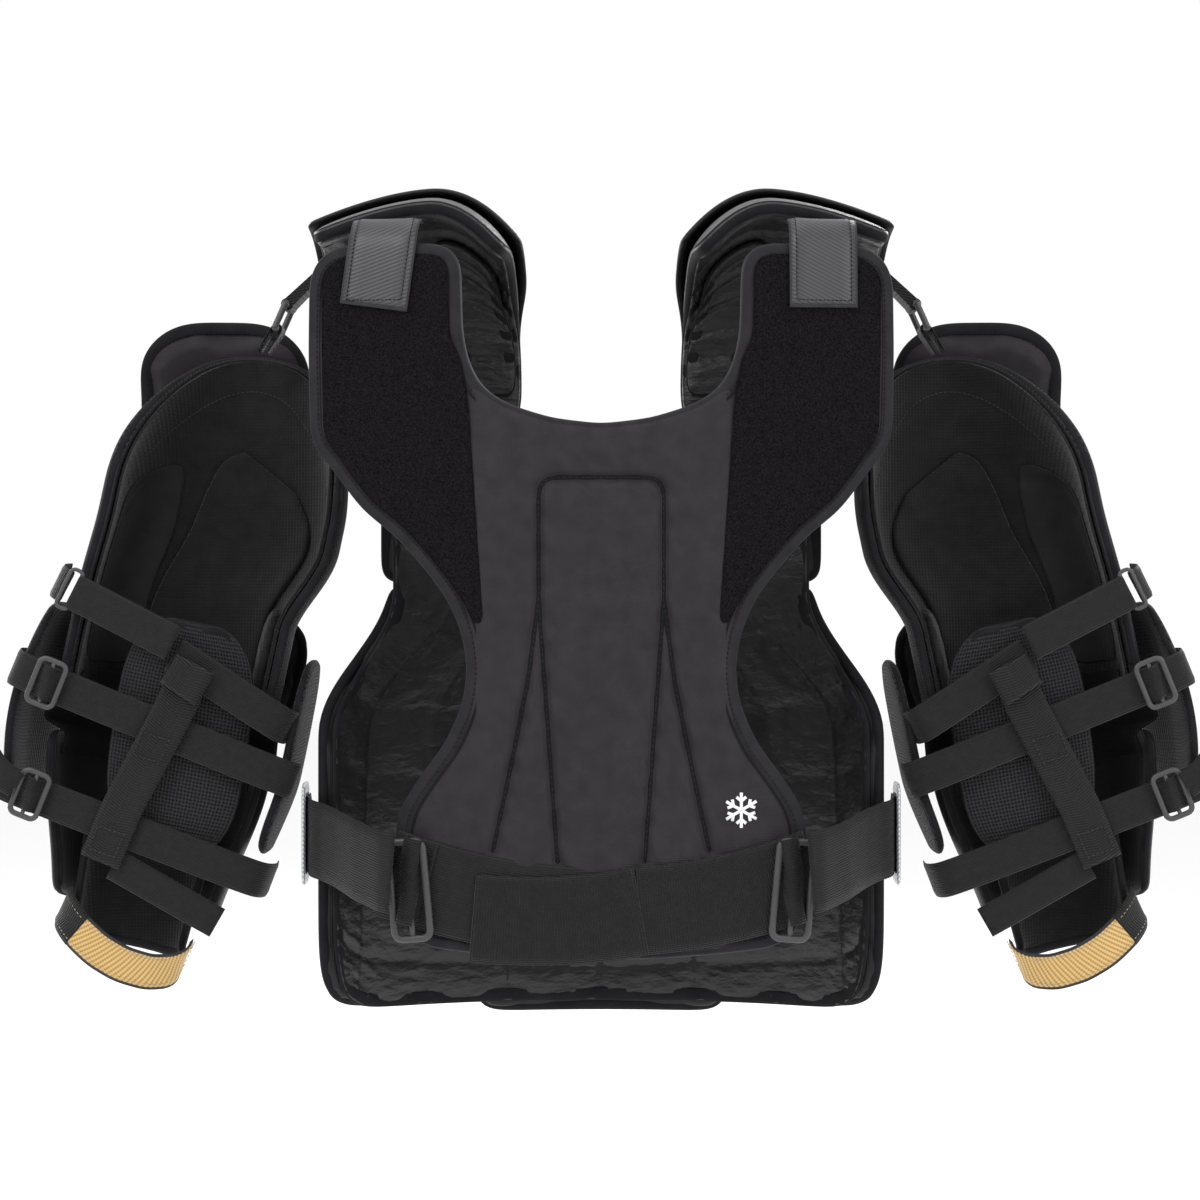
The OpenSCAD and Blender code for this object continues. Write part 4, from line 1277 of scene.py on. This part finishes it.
def yokes():
    ribs = [[(-1, v), (1, v)] for v in (0.16, 0.3, 0.44, 0.58, 0.72, 0.86)]
    body = Pad(yoke_sheet, -YOKE_THICK / 2, YOKE_THICK / 2 - 2, cells=(50, 90), corner=12, edge=0.5)
    piece = body.build("yoke_pad_right", ribs, groove=3.5, reach=4, puff=2.0, under=True, wave=0.7)
    put_both(piece, "torso", "satin", ["yoke_right"])
    put_both(body.band("yoke_tape_right", 12, proud=1.4), "torso", "trim")
    put_both(body.sewing("yoke_stitches_right", 11, side=-1), "torso", "thread")
    tongue = Pad(yoke_sheet, -YOKE_THICK / 2 - 7, -YOKE_THICK / 2 + 1, u=(-0.93, -0.15), v=(0.36, 0.93),
                 cells=(30, 60), corner=7, edge=0.4)
    lines = [[(-0.93, v), (-0.15, v)] for v in (0.45, 0.54, 0.63, 0.72, 0.81)]
    piece = tongue.build("yoke_tongue_right", lines, groove=3, reach=4, puff=1.5, under=True, wave=0.5)
    put_both(piece, "torso", "satin")
    put_both(tongue.band("yoke_tongue_tape_right", 9), "torso", "trim")
    cover = Pad(yoke_sheet, 14, 17.5, u=(-0.98, 1.03), v=(0.16, 0.915), cells=(40, 50), corner=30, edge=0.8)
    piece = cover.build("yoke_cover_face_right")
    put_both(piece, "torso", "vinyl", ["yoke_cover_right"])
    put_both(cover.band("yoke_cover_tape_right", 8), "torso", "vinyl")
    put_both(cover.sewing("yoke_cover_stitches_right", 10, side=1), "torso", "thread")


# ---------- arms ----------
def arms():
    shell = Pad(upper_sheet, 0, 13, cells=(90, 90), corner=16, edge=0.5)
    piece = shell.build("upper_arm_shell_right", [[(-0.55, 0.0), (-0.5, 1)], [(0.5, 0), (0.48, 1)]],
                        groove=3, puff=1)
    put_both(piece, "upper_arm_right", "mesh", ["upper_arm_pad_right"])
    put_both(shell.band("upper_arm_tape_right", 13, 260), "upper_arm_right", "trim")
    lining = Pad(upper_sheet, -3.4, -0.6, u=(-0.98, 0.98), v=(0.01, 0.99), cells=(70, 70), corner=16,
                 edge=0.7)
    piece = lining.build("upper_arm_inside_right")
    put_both(piece, "upper_arm_right", "brushed", ["upper_arm_lining_right"])
    panel = Pad(bicep_sheet, -12.5, -4, cells=(46, 54), corner=14, edge=0.2, round_over=6)
    piece = panel.build("bicep_panel_right")
    put_both(piece, "upper_arm_right", "brushed", ["bicep_pad_right"])
    outer = Pad(upper_sheet, -6.5, -3.4, u=(0.34, 0.86), v=(0.3, 0.9), cells=(26, 40), corner=6, edge=0.4)
    piece = outer.build("bicep_side_panel_right", [[(0.4, 0.36), (0.6, 0.33), (0.8, 0.37)]], groove=1,
                        under=True)
    put_both(piece, "upper_arm_right", "nylon")
    hip = Pad(upper_sheet, -13, -3.6, u=(-0.965, -0.63), v=(0.62, 0.965), cells=(26, 40), corner=3.2,
              edge=0.3)
    piece = hip.build("elbow_hip_right")
    inflate(piece, 3)
    put_both(piece, "upper_arm_right", "brushed")
    ring = np.linspace(-0.72, 0.8, 60)
    depth = (32 + 95 * np.abs(ring) ** 2.2) / 334
    facing = normals(upper_sheet, ring, depth)
    sewn = stitches("upper_arm_arc_right", upper_sheet(ring, depth) - facing * 3.6, -facing)
    put_both(sewn, "upper_arm_right", "grey_thread")

    cup = Pad(upper_sheet, 13.8, 17, u=(-0.55, 0.6), v=(0.03, 0.34), cells=(36, 26), corner=7, edge=0.6)
    put_both(cup.build("shoulder_cup_shell_right"), "upper_arm_right", "moulded",
             ["shoulder_cup_right"])

    flap = Pad(floater_sheet, -6, 6, cells=(40, 40), corner=3.6, edge=0.5)
    piece = flap.build("shoulder_floater_pad_right",
                       [[(-0.6, 0.2), (0.6, 0.2), (0.6, 0.8), (-0.6, 0.8), (-0.6, 0.2)]], groove=2, puff=1)
    inflate(piece, 4)
    put_both(piece, "floater_right", "flap_nylon", ["shoulder_floater_right"])
    put_both(flap.band("shoulder_floater_tape_right", 10), "floater_right", "trim")
    put_both(flap.sewing("shoulder_floater_stitches_right", 9.5, side=-1), "floater_right", "thread")

    cup = Pad(elbow_sheet, 2, 13, cells=(46, 46), corner=6, edge=0.5)
    piece = cup.build("elbow_cup_shell_right", [[(-0.6, 0.1), (-0.6, 0.9)], [(0.6, 0.1), (0.6, 0.9)]],
                      groove=3, puff=1)
    inflate(piece, 4)
    put_both(piece, "forearm_right", "nylon", ["elbow_cup_right"])
    put_both(cup.band("elbow_cup_tape_right", 9), "forearm_right", "trim")

    for name, f, high in (("out", wing_out_sheet, 7), ("in", wing_in_sheet, 6)):
        wing = Pad(f, -5, high - 1, cells=(34, 40), corner=6, edge=0.5)
        piece = wing.build(f"elbow_wing_{name}_right")
        put_both(piece, "forearm_right", "mesh", ["elbow_wings_right"] if name == "out" else [])
        put_both(wing.band(f"elbow_wing_{name}_tape_right", 8), "forearm_right", "trim")

    shell = Pad(forearm_sheet, 0, 12, cells=(70, 44), corner=12, edge=0.5)
    piece = shell.build("forearm_shell_right", [[(-0.5, 0), (-0.5, 1)], [(0.5, 0), (0.5, 1)]], groove=3,
                        puff=1)
    put_both(piece, "forearm_right", "nylon", ["forearm_pad_right"])
    put_both(shell.band("forearm_tape_right", 9, 240), "forearm_right", "trim")

    start, end = elbow_fold()
    bend = ("upper_arm_right", "forearm_right", start, end)
    inner = Pad(mesh_pad_sheet, -5, 5, v=(0.02, 0.98), cells=(46, 80), corner=10, edge=0.4)
    piece = inner.build("forearm_mesh_right")
    put_both(piece, "forearm_right", "mesh", ["forearm_mesh_pad_right"], bend=bend)
    put_both(inner.band("forearm_mesh_tape_right", 7), "forearm_right", "trim", bend=bend)

    gusset = Pad(sleeve_sheet, -0.8, 0.8, cells=(50, 30), corner=40, edge=0.8)
    piece = gusset.build("elbow_gusset_right")
    twin = mirror(piece, "elbow_gusset_left")
    put(piece, "forearm_right", "gusset", bend=bend)
    put(twin, "forearm_left", "gusset",
        bend=("upper_arm_left", "forearm_left", flip(start), flip(end)))
    flat, area = sheet_size(gusset)

    cuff = Pad(cuff_sheet, -6, 0, cells=(60, 30), corner=14, edge=0.6)
    put_both(cuff.build("wrist_cuff_lining_right"), "forearm_right", "brushed",
             ["wrist_cuff_right"])
    put_both(cuff.band("wrist_cuff_tape_right", 7, 220), "forearm_right", "trim")


def sheet_size(pad):
    """A thin sheet's (width, length) and area as it was cut, in metres."""
    across = np.linalg.norm(np.diff(pad.base, axis=0), axis=-1)
    along = np.linalg.norm(np.diff(pad.base, axis=1), axis=-1)
    area = (across[:, :-1] * along[:-1]).sum() * MM * MM
    width, length = across.sum(0).max() * MM, along.sum(1).max() * MM
    return (float(width), float(length)), float(min(area, width * length))


def elbow_fold():
    """Where the fabric inside the elbow starts and stops turning, in metres."""
    return (tuple(arm_place(0, 0, -262) * MM), tuple(arm_place(0, 0, -345) * MM))


STRAP_Y, ARM_STRAP_W = -20, 32


# How a strap ends at the inner edge: SHORT_TURN leaves room for the side tab to peel.
INNER_TURN = [(-4, -5), (-6.6, 5), (-7.4, 18), (-6, 30)]
SHORT_TURN = [(-4, -5), (-5.2, 1), (-3.5, 7)]


def cross_path(x0, d0, x1, d1, lift, outer, inner):
    """A strap across the arm's opening, whose ends turn round the edges of the padding behind."""
    v = np.linspace(0, 1, 40)
    x = mix(x0, x1, v)
    y, d = STRAP_Y - lift * v + 8 * np.abs((x + 2) / 124) ** 6, mix(d0, d1, v)
    slope = (d1 - d0) / (x1 - x0)
    if outer:
        more = np.array([(8.5, 32), (9.8, 18), (8.6, 5), (5, -5)])
        x, y, d = (np.concatenate([a, b]) for a,
                   b in ((x0 + more[:, 0], x), (more[:, 1], y), (d0 + slope * more[:, 0], d)))
    if inner:
        more = np.array(SHORT_TURN if inner == "short" else INNER_TURN)
        x, y, d = (np.concatenate([a, b]) for a,
                   b in ((x, x1 + more[:, 0]), (y, more[:, 1]), (d, d1 + slope * more[:, 0])))
    return arm_place(x, y, -d)


def cross_strap(name, x0, d0, x1, d1, lift=0.0, width=ARM_STRAP_W, outer=True, inner=True):
    tilt = math.atan2(d1 - d0, x0 - x1)
    across = arm_place(math.sin(tilt), 0, -math.cos(tilt)) - arm_place(0, 0, 0)
    return ribbon(name, cross_path(x0, d0, x1, d1, lift, outer, inner), across, width)


LADDER_ROUTE = [(-24, -25, -318), (-18, -26, -350), (-4, -26, -400), (10, -26, -448), (20, -25, -500)]
WRIST_ROUTE = [(49, 22, -548), (50, 12, -551), (44, 2, -556), (30, -8, -566), (8, -14, -578),
               (-16, -15, -586),
               (-40, -9, -589), (-58, 2, -586), (-65, 12, -578), (-66, 24, -568)]


def arm_path(route):
    route = np.array(route, float)
    t = np.linspace(0, len(route) - 1, 40)
    p = np.stack([np.interp(t, np.arange(len(route)), route[:, k]) for k in range(3)], 1)
    return arm_place(p[:, 0], p[:, 1], p[:, 2])


def arm_direction(a, y, z):
    return arm_place(a, y, z) - arm_place(0, 0, 0)


WRIST_ACROSS = arm_direction(0.22, 0, -1)


def arm_straps():
    start, end = elbow_fold()
    bend = ("upper_arm_right", "forearm_right", start, end)
    down = arm_direction(0, 0, -1)
    top = cross_strap("elbow_strap_outer_right", 94, 272, -4, 298, 10, outer=False, inner=False)
    put_both(top, "forearm_right", "elastic", ["top_strap_right"], bend=bend)
    low = cross_strap("elbow_strap_inner_right", -6, 308, -112, 350, outer=False)
    put_both(low, "forearm_right", "elastic", bend=bend)
    x_axis, y_axis = turned(unit(arm_direction(1, 0, 0)), unit(down), -14)
    place = framed(arm_place(97, -17.5, -271), x_axis, y_axis, (0, -1, 0))
    piece = ring_frame("elbow_ring_right", 15, 40, 3.6, 3.4, place)
    put_both(piece, "forearm_right", "glide", bend=bend)
    keeper = [(100, -16, -270), (107, -13, -268), (113, -4, -266), (114, 10, -265), (110, 22, -264)]
    piece = ribbon("elbow_keeper_right", arm_path(keeper), arm_direction(0.25, 0, -1), 30, 2.2)
    put_both(piece, "forearm_right", "webbing", bend=bend)
    runs = (("upper", 128, 350, -127, 396, ARM_STRAP_W), ("lower", 126, 449, -120, 488, ARM_STRAP_W),
            ("end", 8, 500, -92, 532, 28))
    for name, x0, d0, x1, d1, width in runs:
        turn = {"upper": "short", "lower": True, "end": False}[name]
        strap = cross_strap(f"forearm_strap_{name}_right", x0, d0, x1, d1, 0, width, outer=name != "end",
                            inner=turn)
        put_both(strap, "forearm_right", "elastic",
                 ["forearm_straps_right"] if name == "upper" else [])
    ladder = ribbon("ladder_webbing_right", arm_path(LADDER_ROUTE), arm_direction(1, 0, 0.3), 36, 2.2)
    put_both(ladder, "forearm_right", "webbing", ["ladder_strap_right"], bend=bend)
    fold = [(-27, -28.5, -312), (-23, -29, -326), (-17, -29, -341)]
    piece = ribbon("ladder_fold_right", arm_path(fold), arm_direction(1, 0, 0.3), 37, 3.6)
    put_both(piece, "forearm_right", "webbing", bend=bend)
    for d in (392, 481):
        a = mix(-4, 20, (d - 400) / 100)
        square = [(a - 12, d - 9), (a + 12, d - 12), (a + 16, d + 9), (a - 8, d + 12), (a - 12, d - 9)]
        line = np.array([arm_place(x, -27.6, -k) for x, k in square])
        line = resample(line, 2)
        sewn = stitches(f"ladder_stitches_{d}_right", line, np.broadcast_to([0, -1.0, 0], line.shape))
        put_both(sewn, "forearm_right", "grey_thread")
    loose = [(104, -31, -449), (120, -33, -441), (134, -31, -429), (144, -27, -414)]
    piece = ribbon("loose_end_right", arm_path(loose), arm_direction(0.6, 0, -0.8), 24, 2.0,
                   taper=lambda t: np.clip((1 - t) / 0.3, 0.12, 1))
    put_both(piece, "forearm_right", "elastic")
    under = ribbon("wrist_strap_edge_right", arm_path(WRIST_ROUTE), WRIST_ACROSS, 33, 2.2)
    put_both(under, "wrist_strap_right", "grey_thread")
    band = arm_path(WRIST_ROUTE)
    wrist = ribbon("wrist_strap_band_right", band, WRIST_ACROSS, 30, 3.2)
    put_both(wrist, "wrist_strap_right", "gold", ["wrist_strap_right"])
    band = soften(band, 6)
    rows, out = edge_rows(band[1:-1], WRIST_ACROSS, 12, 2.5)
    if out[len(out) // 4, 1] > 0:
        rows, out = edge_rows(band[1:-1], -WRIST_ACROSS, 12, 2.5)
    tail = ribbon("wrist_strap_tail_right", band[:14], WRIST_ACROSS, 34, 5.0, step=2)
    put_both(tail, "wrist_strap_right", "webbing")
    sewn = stitches("wrist_strap_stitches_right", rows, out, pitch=4.6, length=3.0, radius=0.42)
    put_both(sewn, "wrist_strap_right", "pale_thread")
    for name, x, d in (("upper", 98, 355.5), ("lower", 92, 454.5)):
        x_axis, y_axis = turned(unit(arm_direction(1, 0, 0)), unit(down), -10)
        place = framed(arm_place(x, STRAP_Y - 6.1, -d), x_axis, y_axis, (0, -1, 0))
        piece = triglide(f"triglide_{name}_frame_right", 29, 45, 4.8, 3.6, 3.8, place)
        put_both(piece, f"triglide_{name}_right", "glide", [f"triglide_{name}_right"])
        hump = np.linspace(-11, 11, 20)
        slope = 0.18 if name == "upper" else 0.16
        line = arm_place(x + hump, STRAP_Y - 2.4 - 6.6 * np.exp(-(hump / 4.6) ** 2), -(d - slope * hump))
        piece = ribbon(f"triglide_{name}_bridge_right", line, unit(down), ARM_STRAP_W - 2, 1.8, step=1.5)
        put_both(piece, f"triglide_{name}_right", "elastic")


LOOP_MIDDLE_Y = 50


def arm_loops():
    """Webbing from each arm, round the lower bar of its ring and back."""
    low, high = (np.array(c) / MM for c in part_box("arm_ring_right"))
    bar = np.array([high[0] - 3.0, low[2] + 3.0])
    toward = unit(np.array([306.5, -87]) - bar)
    side = np.array([-toward[1], toward[0]])
    tip = [bar - toward * 4.6 * math.cos(t) + side * 4.6
           * math.sin(t) for t in np.linspace(-math.pi / 2, math.pi / 2, 9)]
    flat = np.array([np.array([303, -88])] + tip + [np.array([311, -86])])
    path = np.stack([flat[:, 0], np.full(len(flat), LOOP_MIDDLE_Y), flat[:, 1]], 1)
    piece = ribbon("arm_loop_webbing_right", path, np.array([0, 1.0, 0]), 30, 1.8, step=1.5)
    start, end = ((bar[0] * MM, 0.05, bar[1] * MM), (0.3065, 0.05, -0.087))
    put_both(piece, "upper_arm_right", "webbing", ["arm_loop_right"],
             bend=("arm_hanger_right", "upper_arm_right", start, end))


def carried_over():
    """CAD nodes whose shapes are right keep them, with a better material."""
    for name, look in (("hanger_loops", "loop_webbing"), ("arm_ring_left", "glide"),
                       ("arm_ring_right", "glide")):
        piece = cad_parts[name]
        piece.data.materials.clear()
        piece.data.materials.append(MATERIALS[look])


add_camera()
add_studio()
back_panel()
waist()
waist_hardware()
shoulder_tabs()
torso_front()
yokes()
arms()
arm_straps()
arm_loops()
carried_over()
